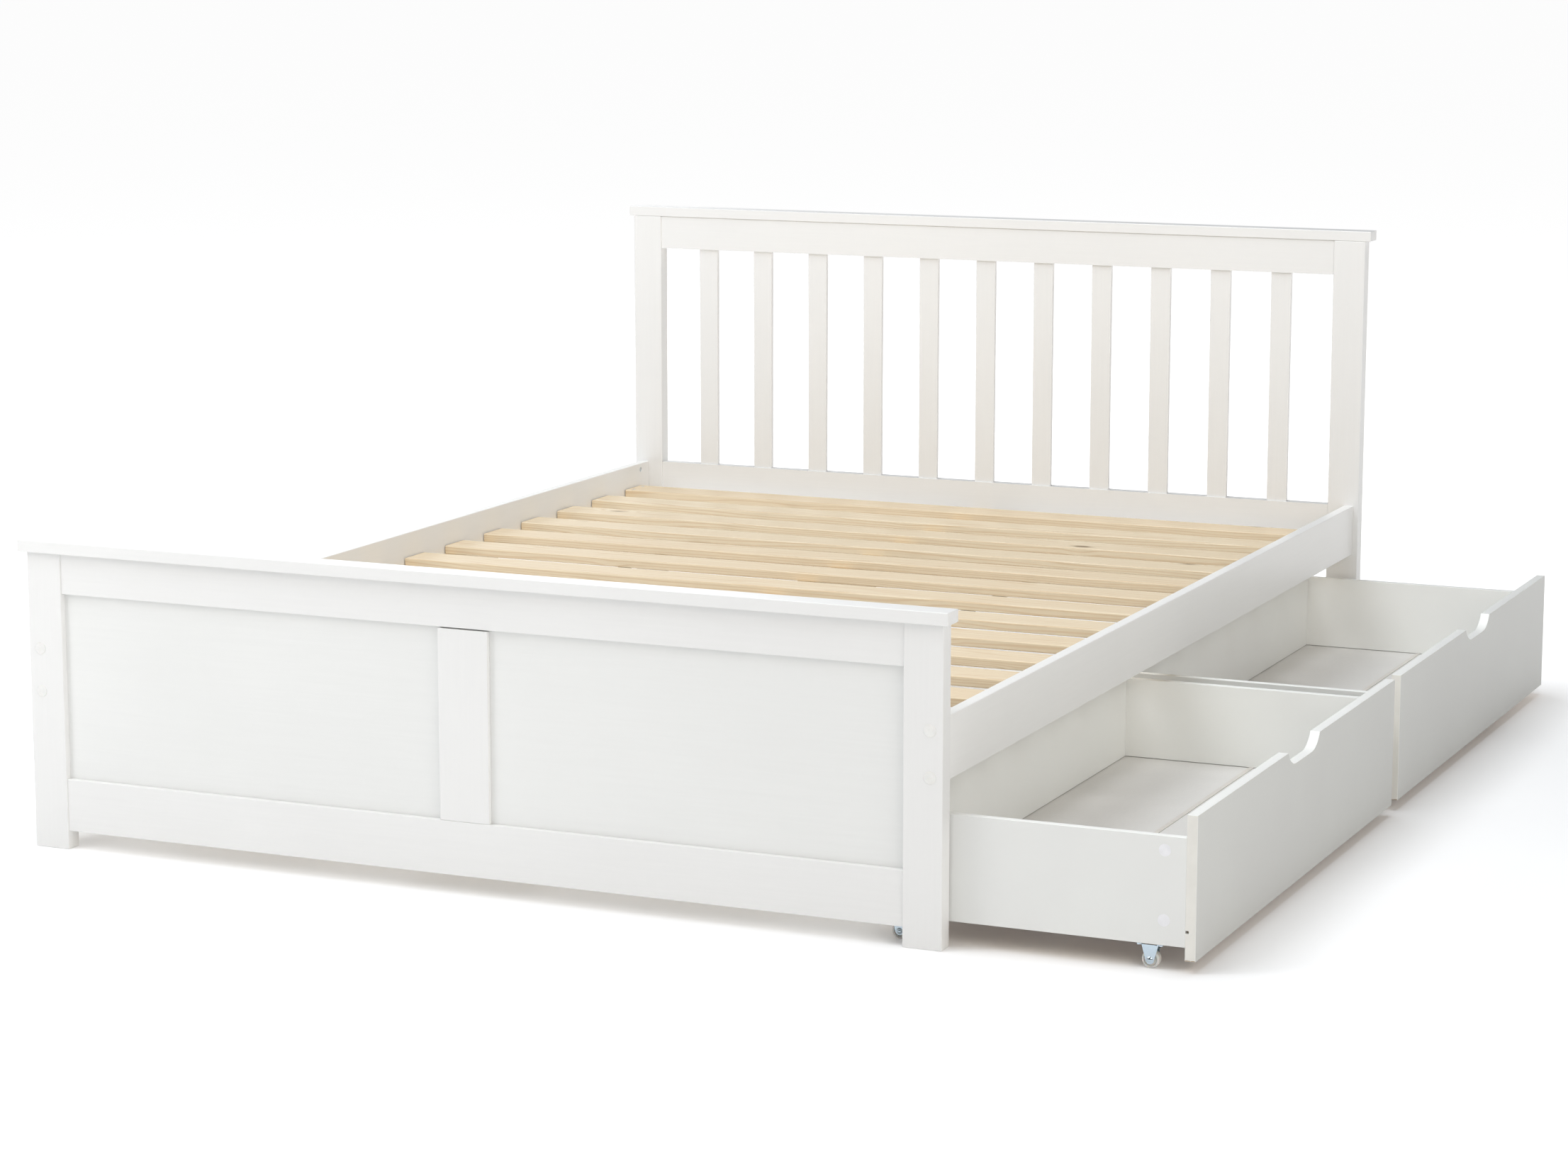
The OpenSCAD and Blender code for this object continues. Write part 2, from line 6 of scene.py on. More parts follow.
import bmesh
import bpy
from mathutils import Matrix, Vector


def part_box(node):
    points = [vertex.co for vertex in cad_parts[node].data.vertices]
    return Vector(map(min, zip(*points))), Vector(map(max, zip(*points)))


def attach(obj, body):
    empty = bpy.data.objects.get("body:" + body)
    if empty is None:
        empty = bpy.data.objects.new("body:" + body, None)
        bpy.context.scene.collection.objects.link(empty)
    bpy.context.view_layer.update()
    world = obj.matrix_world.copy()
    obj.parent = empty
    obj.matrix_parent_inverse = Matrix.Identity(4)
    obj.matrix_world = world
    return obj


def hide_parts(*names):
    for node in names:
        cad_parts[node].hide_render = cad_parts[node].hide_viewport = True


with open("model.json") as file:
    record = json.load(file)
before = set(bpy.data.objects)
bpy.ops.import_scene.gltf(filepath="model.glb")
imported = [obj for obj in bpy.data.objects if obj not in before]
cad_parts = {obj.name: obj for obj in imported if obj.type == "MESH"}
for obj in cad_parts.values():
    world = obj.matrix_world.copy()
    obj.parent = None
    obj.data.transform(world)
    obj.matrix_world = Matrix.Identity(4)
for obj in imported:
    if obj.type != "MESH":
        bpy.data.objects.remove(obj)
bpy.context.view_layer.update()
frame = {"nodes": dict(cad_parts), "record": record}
scene = bpy.context.scene
nodes = frame["nodes"]
record = frame["record"]
slot_of = {part["node"]: part["material_slot"] for part in record["subparts"]}
body_of = {node: body for body, members in record["behaviour"]["bodies"].items() for node in members}
DRAWERS = ("near", "far")

MM = 0.001
X, Y, Z = 0, 1, 2
AXES = (Vector((1, 0, 0)), Vector((0, 1, 0)), Vector((0, 0, 1)))

# Tolerances. FACING and ALONG are the least part of a unit vector that lies along an axis.
WELD = 0.002 * MM
ON_PLANE = 0.01 * MM
FLAT_ANGLE = math.radians(0.4)
SHARP_ANGLE = math.radians(46)
CORNER_ANGLE = math.radians(60)
FACING = 0.9
ALONG = 0.99
NEAR_EDGE = 1 * MM

# Rounding of the boards' edges
PAINT_ROUND = 1.5 * MM
CAP_ROUND = 1.2 * MM
FOIL_ROUND = 0.7 * MM
PINE_ROUND = 2.5 * MM
SAWN_ROUND = 1.2 * MM
PLASTIC_ROUND = 0.3 * MM
JOINER_ROUND = 0.8 * MM
SHEET_ROUND = 0.25 * MM
TAB_ROUND = 0.3 * MM
STAPLE_ROUND = 0.3 * MM

# Drawer fronts
CUT_DEPTH = 22 * MM

# Camera at the photographed angle
CAMERA_PLACE = (2.5802, -5.7209, 1.3976)
CAMERA_YAW = math.radians(23.963)
CAMERA_PITCH = math.radians(-10.106)
CAMERA_LENS = 87.77
CAMERA_REACH = 500

# Casters
FORK_W = 17 * MM
SHEET_T = 1.5 * MM
PLATE_T = 2 * MM
TAB_LOWER_BY = 0.02 * MM
TAB_OVERLAP = 1.5 * MM
CHEEK_TOP_W = 25 * MM
CHEEK_END_R = 6 * MM
FOLD_R = 2.6 * MM
TAB_CORNER_R = 4 * MM
RIVET_R = 4.5 * MM
RIVET_H = 2.2 * MM
AXLE_R = 2.5 * MM
HUB_R = 5.5 * MM
WEB_R = 9 * MM
WEB_RECESS = 1.5 * MM
TREAD_ROUND = 2.6 * MM
BORE_PLAY = 0.05 * MM

# Screws: shares of the head's radius, and sizes
CROSS_ARM = 0.62
CROSS_HALF_W = 0.17
CROSS_DEPTH = 0.55
CROSS_TAPER = 0.7
HEAD_WIDER_THAN = 1.15
PAN_HEAD_BELOW = 3.5 * MM
PAN_HEAD_H = 1.2 * MM
HEAD_RIM = 0.15 * MM
HEAD_NECK = 0.5 * MM
PIN_SOFT = 0.4 * MM

# Plugs and discs
PLUG_LIP = 1.2 * MM
PLUG_SHANK_INSET = 1.0 * MM
PLUG_SEAT_INSET = 0.5 * MM
PLUG_DOME = ((0.55, 0.0), (0.72, 0.12), (0.86, 0.45), (0.95, 1.2), (1.0, 2.8))
DISC_INSETS = (0.15 * MM, 0.45 * MM)

# Straps and their staples
STRAP_SAG = 1.6 * MM
STRAP_STEPS = 6
STRAP_EDGE = 0.25 * MM
STAPLE_W = 11 * MM
STAPLE_WIRE = 1.1 * MM
STAPLE_FROM_MIDDLE = 14 * MM

# Floor, in metres and as strengths of its glow, which grows with the distance from a point
FLOOR_HALF = 200.0
GLOW_CENTRE = (0.6, -1.5, 0.0)
GLOW_FROM, GLOW_TO = 2.2, 4.2
GLOW_LOW, GLOW_HIGH = 0.10, 0.92
SURROUNDINGS_STRENGTH = 0.06


# ---------------------------------------------------------------- meshes

def solid_mesh(node):
    """A welded copy of a CAD node's mesh, with its flat faces whole again."""
    data = nodes[node].data
    bm = bmesh.new()
    corners = [bm.verts.new(v.co) for v in data.vertices]
    for polygon in data.polygons:
        bm.faces.new([corners[i] for i in polygon.vertices])
    bmesh.ops.remove_doubles(bm, verts=bm.verts, dist=WELD)
    bmesh.ops.dissolve_limit(bm, angle_limit=FLAT_ANGLE, verts=bm.verts, edges=bm.edges)
    return bm


def solid_groups(bm):
    """The vertices of each separate solid, ordered along X, then Y, then Z."""
    seen = set()
    groups = []
    for start in bm.verts:
        if start in seen:
            continue
        seen.add(start)
        group = [start]
        for vertex in group:
            for edge in vertex.link_edges:
                other = edge.other_vert(vertex)
                if other not in seen:
                    seen.add(other)
                    group.append(other)
        groups.append(group)
    return sorted(groups, key=lambda group: tuple(round(c, 5) for c in box_of(group)[0]))


def box_of(group):
    """Lowest and highest corner of some vertices."""
    low = Vector([min(v.co[axis] for v in group) for axis in (X, Y, Z)])
    high = Vector([max(v.co[axis] for v in group) for axis in (X, Y, Z)])
    return low, high


def solid_boxes(node):
    """The boxes of a CAD node's separate solids."""
    bm = solid_mesh(node)
    boxes = [box_of(group) for group in solid_groups(bm)]
    bm.free()
    return boxes


def faces_touched(edge, low, high):
    """How many faces of the box low-high an edge lies in."""
    count = 0
    for axis in (X, Y, Z):
        for level in (low[axis], high[axis]):
            count += all(abs(v.co[axis] - level) < ON_PLANE for v in edge.verts)
    return count


def arrises(bm, along=None):
    """The edges along the outer edges of each solid's own box, or only those along one axis."""
    box_at = {}
    for group in solid_groups(bm):
        box = box_of(group)
        for vertex in group:
            box_at[vertex] = box
    chosen = []
    for edge in bm.edges:
        if faces_touched(edge, *box_at[edge.verts[0]]) < 2:
            continue
        run = (edge.verts[1].co - edge.verts[0].co).normalized()
        if along is None or abs(run[along]) > ALONG:
            chosen.append(edge)
    return chosen


def round_edges(bm, edges, radius, segments=3):
    """Rounds edges over, as sanding, paint or a press tool does."""
    bmesh.ops.bevel(bm, geom=edges, offset=radius, offset_type="OFFSET", segments=segments,
                    profile=0.5, affect="EDGES", clamp_overlap=True)


def make_piece(name, bm, body, slot, materials, replaced=()):
    """A finished object from a bmesh: shaded, given its materials and riding on its body."""
    mesh = bpy.data.meshes.new(name)
    bm.normal_update()
    bm.to_mesh(mesh)
    bm.free()
    for material in materials:
        mesh.materials.append(material)
    mesh.shade_smooth()
    mesh.set_sharp_from_angle(angle=SHARP_ANGLE)
    piece = bpy.data.objects.new(name, mesh)
    scene.collection.objects.link(piece)
    weights = piece.modifiers.new("flat_faces_stay_flat", "WEIGHTED_NORMAL")
    weights.keep_sharp = True
    weights.weight = 100
    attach(piece, body)
    if replaced:
        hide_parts(*replaced)
    return piece


def replace_node(node, bm, *materials):
    """A new piece that stands for one CAD node, on its body."""
    return make_piece(f"{node}_finished", bm, body_of[node], slot_of[node], materials, (node,))


def number_faces(bm, number):
    """Gives each face the material number that number(face) says."""
    bm.normal_update()
    for face in bm.faces:
        face.material_index = number(face)


def refine(node, radius, *materials, along=None, paint=None):
    """The CAD node's own shape with rounded outer edges. paint(face) gives a face's material number."""
    bm = solid_mesh(node)
    round_edges(bm, arrises(bm, along), radius)
    if paint:
        number_faces(bm, paint)
    return replace_node(node, bm, *materials)


def ring(bm, centre, radius, axis, segments):
    """A circle of vertices round an axis, or one vertex where the radius is nothing."""
    if radius < ON_PLANE:
        return [bm.verts.new(centre)]
    side = axis.orthogonal().normalized()
    up = axis.cross(side)
    turns = [2 * math.pi * i / segments for i in range(segments)]
    return [bm.verts.new(centre + radius * (math.cos(t) * side + math.sin(t) * up)) for t in turns]


def bridge(bm, a, b):
    """Faces between two rings of the same size, or between a ring and a single vertex."""
    count = max(len(a), len(b))
    for i in range(count):
        j = (i + 1) % count
        if len(a) == 1:
            bm.faces.new((a[0], b[i], b[j]))
        elif len(b) == 1:
            bm.faces.new((a[i], a[j], b[0]))
        else:
            bm.faces.new((a[i], a[j], b[j], b[i]))


def lathe(bm, centre, axis, profile, segments=48, closed=False):
    """A turned solid. The profile is a list of (distance along the axis, radius)."""
    rings = [ring(bm, centre + axis * along, radius, axis, segments) for along, radius in profile]
    for a, b in zip(rings, rings[1:]):
        bridge(bm, a, b)
    if closed:
        bridge(bm, rings[-1], rings[0])
    return rings


def arc(centre, radius, start, end, steps):
    """Points on a circular arc, in degrees, both ends included."""
    turns = [math.radians(start + (end - start) * i / steps) for i in range(steps + 1)]
    return [(centre[0] + radius * math.cos(t), centre[1] + radius * math.sin(t)) for t in turns]


def extrude_outline(bm, outline, base, height):
    """A flat plate: an outline of (x, y) points raised from base along Z."""
    low = [bm.verts.new((x, y, base)) for x, y in outline]
    high = [bm.verts.new((x, y, base + height)) for x, y in outline]
    bm.faces.new(list(reversed(low)))
    bm.faces.new(high)
    bridge(bm, low, high)


def rounded_box(bm, low, high, radius, segments=2):
    """A block with all its edges rounded."""
    made = bmesh.ops.create_cube(bm, size=1.0)
    size = Vector(high) - Vector(low)
    middle = (Vector(high) + Vector(low)) / 2
    for vertex in made["verts"]:
        vertex.co = Vector([vertex.co[i] * size[i] for i in (X, Y, Z)]) + middle
    edges = sorted({e for v in made["verts"] for e in v.link_edges}, key=lambda e: e.index)
    round_edges(bm, edges, radius, segments)


# ---------------------------------------------------------------- material nodes

def start_material(name, roughness):
    """A new material: its tree, its shader and the object coordinates."""
    material = bpy.data.materials.new(name)
    material.use_nodes = True
    tree = material.node_tree
    shader = tree.nodes["Principled BSDF"]
    shader.inputs["Roughness"].default_value = roughness
    place = tree.nodes.new("ShaderNodeTexCoord").outputs["Object"]
    return material, tree, shader, place


def feed(tree, socket, value):
    """Links a socket to another one, or sets its value."""
    if isinstance(value, bpy.types.NodeSocket):
        tree.links.new(value, socket)
    elif isinstance(value, (tuple, list)) and len(value) == 3 and socket.type == "RGBA":
        socket.default_value = (*value, 1.0)
    else:
        socket.default_value = value


def noise(tree, vector, scale, detail=2.0, roughness=0.5, distortion=0.0):
    """A cloudy texture, from 0 to 1."""
    node = tree.nodes.new("ShaderNodeTexNoise")
    feed(tree, node.inputs["Vector"], vector)
    node.inputs["Scale"].default_value = scale
    node.inputs["Detail"].default_value = detail
    node.inputs["Roughness"].default_value = roughness
    node.inputs["Distortion"].default_value = distortion
    return node.outputs["Fac"]


def cells(tree, vector, scale, randomness=1.0):
    """The distance to the nearest of many scattered points."""
    node = tree.nodes.new("ShaderNodeTexVoronoi")
    feed(tree, node.inputs["Vector"], vector)
    node.inputs["Scale"].default_value = scale
    node.inputs["Randomness"].default_value = randomness
    return node.outputs["Distance"]


def calc(tree, operation, a, b=0.0):
    """Arithmetic on sockets or numbers."""
    node = tree.nodes.new("ShaderNodeMath")
    node.operation = operation
    feed(tree, node.inputs[0], a)
    feed(tree, node.inputs[1], b)
    return node.outputs[0]


def weighted(tree, a, a_share, b, b_share):
    """A sum of two values, each with its own share."""
    return calc(tree, "ADD", calc(tree, "MULTIPLY", a, a_share), calc(tree, "MULTIPLY", b, b_share))


def stretch(tree, vector, scale):
    """Coordinates scaled along each axis."""
    node = tree.nodes.new("ShaderNodeMapping")
    feed(tree, node.inputs["Vector"], vector)
    node.inputs["Scale"].default_value = scale
    return node.outputs[0]


def fade(tree, value, from_low, from_high, to_low=0.0, to_high=1.0):
    """Maps a value smoothly from one range to another."""
    node = tree.nodes.new("ShaderNodeMapRange")
    node.interpolation_type = "SMOOTHSTEP"
    feed(tree, node.inputs["Value"], value)
    for name, number in (("From Min", from_low), ("From Max", from_high), ("To Min", to_low),
                         ("To Max", to_high)):
        node.inputs[name].default_value = number
    return node.outputs["Result"]


def blend_colors(tree, factor, a, b):
    """Colour a where the factor is 0, colour b where it is 1."""
    node = tree.nodes.new("ShaderNodeMix")
    node.data_type = "RGBA"
    feed(tree, node.inputs[0], factor)
    feed(tree, node.inputs[6], a)
    feed(tree, node.inputs[7], b)
    return node.outputs[2]


def add_bump(tree, shader, *layers):
    """Stacks bumps on a shader. Each layer is (height, distance in metres)."""
    below = None
    for height, distance in layers:
        node = tree.nodes.new("ShaderNodeBump")
        node.inputs["Distance"].default_value = distance
        feed(tree, node.inputs["Height"], height)
        if below:
            tree.links.new(below, node.inputs["Normal"])
        below = node.outputs[0]
    tree.links.new(below, shader.inputs["Normal"])


def split(tree, vector):
    """The X, Y and Z of a vector."""
    node = tree.nodes.new("ShaderNodeSeparateXYZ")
    feed(tree, node.inputs[0], vector)
    return node.outputs


def grain_scale(axis, along):
    """Scale that draws a texture out along one axis."""
    return tuple(along if i == axis else 1.0 for i in (X, Y, Z))


def shade(color, factor):
    """A colour made darker or lighter."""
    return tuple(c * factor for c in color)


# ---------------------------------------------------------------- materials

# The rails and the drawers' faces have their own whites, as each takes the light differently. These whites
# are painted light and painted shade: lighter paint on the side rails, and one foil in three whites,
# lightest on the drawers' inner faces and top edges, darker on their outer sides and backs, much darker on
# the fronts' outer faces.
PAINT = (0.825, 0.822, 0.808)
PANEL = (0.815, 0.818, 0.800)
# Lighter than PAINT: painted light on the side rails.
RAIL_PAINT_PAINTED_LIGHT = (0.885, 0.880, 0.860)
# Foil of the drawers' inner faces and top edges, lighter than SIDE_FOIL: the step between them is painted
# light and shade.
FOIL = (0.880, 0.884, 0.862)
SIDE_FOIL = (0.790, 0.794, 0.774)
# Outer faces of the drawer fronts, much darker than the other foil: painted shade.
FRONT_FOIL_PAINTED_SHADE = (0.620, 0.622, 0.598)
BAND = (0.790, 0.775, 0.725)
CHIPBOARD = (0.480, 0.360, 0.235)
BOTTOM = (0.718, 0.707, 0.683)
HARDBOARD = (0.300, 0.190, 0.110)
JOINER_BEIGE = (0.655, 0.625, 0.580)
# White on the joining strip's slanted edges: a painted highlight.
JOINER_PAINTED_HIGHLIGHT = (0.900, 0.890, 0.870)
PLUG_WHITE = (0.830, 0.825, 0.800)
DISC_LILAC = (0.830, 0.830, 0.850)
NYLON = (0.660, 0.655, 0.620)
ZINC_SHEET = (0.50, 0.59, 0.66)
ZINC_FITTING = (0.62, 0.66, 0.70)
STEEL = (0.40, 0.41, 0.43)
PINE_PALE = (0.80, 0.69, 0.51)
PINE_DARK = (0.65, 0.47, 0.28)
BEECH_PALE = (0.62, 0.42, 0.25)
BEECH_DARK = (0.50, 0.31, 0.17)
TAPE_DARK = (0.62, 0.60, 0.55)
TAPE_PALE = (0.78, 0.76, 0.71)
TAPE_FUZZ = (0.55, 0.53, 0.49)
FLOOR_DARK = (0.90, 0.90, 0.90)
FLOOR_PALE = (0.92, 0.92, 0.92)


def painted_wood(name, grain_axis, color=PAINT, roughness=0.36):
    """Satin paint: an orange peel, wood grain that just shows through, and uneven sheen."""
    material, tree, shader, place = start_material(name, roughness)
    drawn = stretch(tree, place, grain_scale(grain_axis, 0.035))
    grain = noise(tree, drawn, 230, 4, roughness=0.6, distortion=0.3)
    pores = noise(tree, stretch(tree, place, grain_scale(grain_axis, 0.02)), 1500, 1)
    peel = noise(tree, place, 620, 2)
    cloud = noise(tree, place, 3.1, 2)
    tone = weighted(tree, cloud, 0.6, grain, 0.4)
    tint = blend_colors(tree, fade(tree, tone, 0.3, 0.7), shade(color, 0.982), shade(color, 1.012))
    feed(tree, shader.inputs["Base Color"], tint)
    sheen = weighted(tree, peel, 0.05, cloud, 0.08)
    feed(tree, shader.inputs["Roughness"], calc(tree, "ADD", sheen, roughness - 0.065))
    add_bump(tree, shader, (grain, 0.05 * MM), (pores, 0.012 * MM), (peel, 0.035 * MM))
    return material


def foil_board(name, color, roughness=0.42):
    """Melamine foil: a fine even pearl texture with a faint drift of tone."""
    material, tree, shader, place = start_material(name, roughness)
    pearl = noise(tree, place, 1300, 2)
    ripple = noise(tree, place, 170, 2)
    cloud = noise(tree, place, 4.0, 3)
    tint = blend_colors(tree, fade(tree, cloud, 0.3, 0.7), shade(color, 0.978),
                        (color[0] * 1.008, color[1] * 1.014, color[2] * 1.008))
    feed(tree, shader.inputs["Base Color"], tint)
    gloss = fade(tree, pearl, 0.3, 0.7, roughness - 0.03, roughness + 0.06)
    feed(tree, shader.inputs["Roughness"], gloss)
    add_bump(tree, shader, (ripple, 0.03 * MM), (pearl, 0.02 * MM))
    return material


def edge_band(name, foot_z):
    """Cream edging of the drawer fronts' ends, chipped brown at its foot."""
    material, tree, shader, place = start_material(name, 0.44)
    fine = noise(tree, stretch(tree, place, (1, 1, 0.15)), 900, 2)
    cloud = noise(tree, place, 30, 3)
    chip = noise(tree, place, 260, 4, roughness=0.65)
    cream = blend_colors(tree, fade(tree, cloud, 0.3, 0.7), shade(BAND, 0.96), shade(BAND, 1.02))
    chip_reach = 3.2 * MM
    above_foot = calc(tree, "SUBTRACT", split(tree, place)[Z], foot_z)
    ragged = calc(tree, "ADD", above_foot, calc(tree, "MULTIPLY", chip, -chip_reach))
    bare = fade(tree, ragged, 0.1 * MM, -0.5 * MM)
    worn = blend_colors(tree, bare, cream, shade(CHIPBOARD, 0.8))
    feed(tree, shader.inputs["Base Color"], worn)
    feed(tree, shader.inputs["Roughness"], fade(tree, bare, 0.0, 1.0, 0.44, 0.85))
    add_bump(tree, shader, (fine, 0.04 * MM), (calc(tree, "MULTIPLY", bare, -1.0), 0.3 * MM))
    return material


def raw_board(name):
    """Bare chipboard: pressed chips in several browns."""
    material, tree, shader, place = start_material(name, 0.85)
    chips = cells(tree, stretch(tree, place, (1, 0.45, 1)), 420)
    dust = noise(tree, place, 900, 4, roughness=0.7)
    pressed = blend_colors(tree, fade(tree, chips, 0.1, 0.8), shade(CHIPBOARD, 1.25), shade(CHIPBOARD, 0.55))
    tint = blend_colors(tree, calc(tree, "MULTIPLY", dust, 0.5), pressed, shade(CHIPBOARD, 1.5))
    feed(tree, shader.inputs["Base Color"], tint)
    add_bump(tree, shader, (chips, 0.3 * MM), (dust, 0.1 * MM))
    return material


def drawer_bottom(name):
    """The drawer bottom's upper face: thin pale grey lacquer over hardboard."""
    material, tree, shader, place = start_material(name, 0.48)
    fibre = noise(tree, stretch(tree, place, (1, 0.2, 1)), 420, 4, roughness=0.6)
    cloud = noise(tree, place, 5.0, 3)
    fuzz = noise(tree, place, 1500, 1)
    tone = weighted(tree, cloud, 0.7, fibre, 0.3)
    tint = blend_colors(tree, fade(tree, tone, 0.35, 0.65), shade(BOTTOM, 0.965), shade(BOTTOM, 1.02))
    feed(tree, shader.inputs["Base Color"], tint)
    add_bump(tree, shader, (fibre, 0.05 * MM), (fuzz, 0.02 * MM))
    return material


def raw_hardboard(name):
    """The drawer bottom's underside: brown hardboard with the print of the press mesh."""
    material, tree, shader, place = start_material(name, 0.8)
    mesh_print = cells(tree, place, 700, randomness=0.15)
    fibre = noise(tree, stretch(tree, place, (0.5, 1, 1)), 300, 5, roughness=0.65)
    tint = blend_colors(tree, fade(tree, fibre, 0.25, 0.75), shade(HARDBOARD, 0.75), shade(HARDBOARD, 1.35))
    feed(tree, shader.inputs["Base Color"], tint)
    add_bump(tree, shader, (mesh_print, 0.2 * MM), (fibre, 0.1 * MM))
    return material


def plastic(name, color, roughness, softness=0.0):
    """Moulded plastic: spark texture, slight mottling, and some light let in where it is soft."""
    material, tree, shader, place = start_material(name, roughness)
    spark = noise(tree, place, 1800, 2)
    cloud = noise(tree, place, 90, 2)
    tint = blend_colors(tree, fade(tree, cloud, 0.3, 0.7), shade(color, 0.96), shade(color, 1.02))
    feed(tree, shader.inputs["Base Color"], tint)
    gloss = fade(tree, spark, 0.3, 0.7, roughness - 0.05, roughness + 0.06)
    feed(tree, shader.inputs["Roughness"], gloss)
    shader.inputs["Subsurface Weight"].default_value = softness
    shader.inputs["Subsurface Scale"].default_value = 1.5 * MM
    add_bump(tree, shader, (spark, 0.02 * MM), (cloud, 0.03 * MM))
    return material


def plated_metal(name, color, roughness, contrast):
    """Bright plated metal: faint crystals, fine rolling lines and cloudy gloss."""
    material, tree, shader, place = start_material(name, roughness)
    shader.inputs["Metallic"].default_value = 1.0
    crystals = cells(tree, place, 380)
    lines = noise(tree, stretch(tree, place, (0.06, 1, 1)), 2600, 2)
    cloud = noise(tree, place, 160, 3)
    light, dark = shade(color, 1 + contrast), shade(color, 1 - contrast)
    feed(tree, shader.inputs["Base Color"], blend_colors(tree, fade(tree, crystals, 0.1, 0.9), light, dark))
    gloss = fade(tree, cloud, 0.3, 0.7, roughness * 0.7, roughness * 1.4)
    feed(tree, shader.inputs["Roughness"], gloss)
    add_bump(tree, shader, (lines, 0.004 * MM), (crystals, 0.003 * MM))
    return material


def moved_by_tone(tree, place):
    """Coordinates shifted for each slat by its own tone, so that no two slats show the same grain."""
    tone = tree.nodes.new("ShaderNodeAttribute")
    tone.attribute_name = "tone"
    shift = calc(tree, "MULTIPLY", tone.outputs["Fac"], 7.3)
    moved = tree.nodes.new("ShaderNodeVectorMath")
    moved.operation = "ADD"
    feed(tree, moved.inputs[0], place)
    feed(tree, moved.inputs[1], shift)
    return moved.outputs[0], tone.outputs["Fac"]


def growth_rings(tree, place, axis, pitch, near_knot=None):
    """Late wood, from 0 to 1: rings cut along the board, bent round the knots."""
    sway = noise(tree, stretch(tree, place, grain_scale(axis, 0.07)), 13, 3, roughness=0.55)
    across = split(tree, place)[Y if axis == X else X]
    height = split(tree, place)[Z]
    phase = calc(tree, "ADD", across, calc(tree, "MULTIPLY", height, 1.7))
    phase = calc(tree, "ADD", phase, calc(tree, "MULTIPLY", sway, 0.11))
    if near_knot:
        phase = calc(tree, "ADD", phase, calc(tree, "MULTIPLY", near_knot, 0.018))
    wave = calc(tree, "SINE", calc(tree, "MULTIPLY", phase, 2 * math.pi / pitch))
    return fade(tree, wave, 0.1, 1.0)


def bare_wood(name, axis, pale, dark, ring_pitch, knots=True, tone_share=0.0):
    """Planed wood: growth rings, fibres, now and then a knot, and some boards darker than others."""
    material, tree, shader, place = start_material(name, 0.58)
    place, tone = moved_by_tone(tree, place)
    knot = cells(tree, stretch(tree, place, grain_scale(axis, 0.45)), 7.5) if knots else None
    near_knot = fade(tree, knot, 0.20, 0.02) if knots else None
    late_wood = growth_rings(tree, place, axis, ring_pitch, near_knot)
    fibre = noise(tree, stretch(tree, place, grain_scale(axis, 0.015)), 1100, 3, roughness=0.6)
    color = blend_colors(tree, calc(tree, "MULTIPLY", late_wood, 0.55), pale, dark)
    color = blend_colors(tree, fade(tree, fibre, 0.35, 0.75, 0.0, 0.28), color, shade(dark, 0.85))
    if tone_share:
        color = blend_colors(tree, calc(tree, "MULTIPLY", tone, tone_share), color, shade(dark, 1.05))
    if knots:
        color = blend_colors(tree, fade(tree, knot, 0.065, 0.035), color, shade(dark, 0.32))
        color = blend_colors(tree, fade(tree, knot, 0.10, 0.05, 0.0, 0.45), color, shade(dark, 0.5))
    feed(tree, shader.inputs["Base Color"], color)
    add_bump(tree, shader, (late_wood, 0.05 * MM), (fibre, 0.06 * MM))
    return material


def woven_tape(name):
    """Cotton webbing: ribs across the strap and threads along it."""
    material, tree, shader, place = start_material(name, 0.85)
    rib_pitch, thread_pitch = 1.3 * MM, 1.0 * MM
    across, along = split(tree, place)[X], split(tree, place)[Y]
    ribs = calc(tree, "SINE", calc(tree, "MULTIPLY", along, 2 * math.pi / rib_pitch))
    threads = calc(tree, "SINE", calc(tree, "MULTIPLY", across, 2 * math.pi / thread_pitch))
    weave = calc(tree, "MULTIPLY", ribs, threads)
    fuzz = noise(tree, place, 2200, 3)
    tint = blend_colors(tree, fade(tree, weave, -1.0, 1.0), TAPE_DARK, TAPE_PALE)
    tint = blend_colors(tree, calc(tree, "MULTIPLY", fuzz, 0.3), tint, TAPE_FUZZ)
    feed(tree, shader.inputs["Base Color"], tint)
    shader.inputs["Sheen Weight"].default_value = 0.25
    add_bump(tree, shader, (weave, 0.18 * MM), (fuzz, 0.06 * MM))
    return material


def studio_floor(name):
    """A white floor that glows away from the bed, as a lit sweep does."""
    material, tree, shader, place = start_material(name, 0.9)
    shader.inputs["Specular IOR Level"].default_value = 0.0
    cloud = noise(tree, place, 0.8, 2)
    feed(tree, shader.inputs["Base Color"], blend_colors(tree, cloud, FLOOR_DARK, FLOOR_PALE))
    distance = tree.nodes.new("ShaderNodeVectorMath")
    distance.operation = "DISTANCE"
    feed(tree, distance.inputs[0], place)
    distance.inputs[1].default_value = GLOW_CENTRE
    rise = tree.nodes.new("ShaderNodeMapRange")
    feed(tree, rise.inputs["Value"], distance.outputs["Value"])
    rise.inputs["From Min"].default_value = GLOW_FROM
    rise.inputs["From Max"].default_value = GLOW_TO
    rise.inputs["To Min"].default_value = GLOW_LOW
    rise.inputs["To Max"].default_value = GLOW_HIGH
    shader.inputs["Emission Color"].default_value = (1.0, 1.0, 1.0, 1.0)
    feed(tree, shader.inputs["Emission Strength"], rise.outputs["Result"])
    return material


paint_x = painted_wood("white_paint_grain_x", X)
# Side rails: the lighter paint is painted light.
paint_y_painted_light = painted_wood("white_paint_grain_y_painted_light", Y, RAIL_PAINT_PAINTED_LIGHT)
paint_z = painted_wood("white_paint_grain_z", Z)
panel_paint = painted_wood("white_paint_panel", X, PANEL, roughness=0.42)
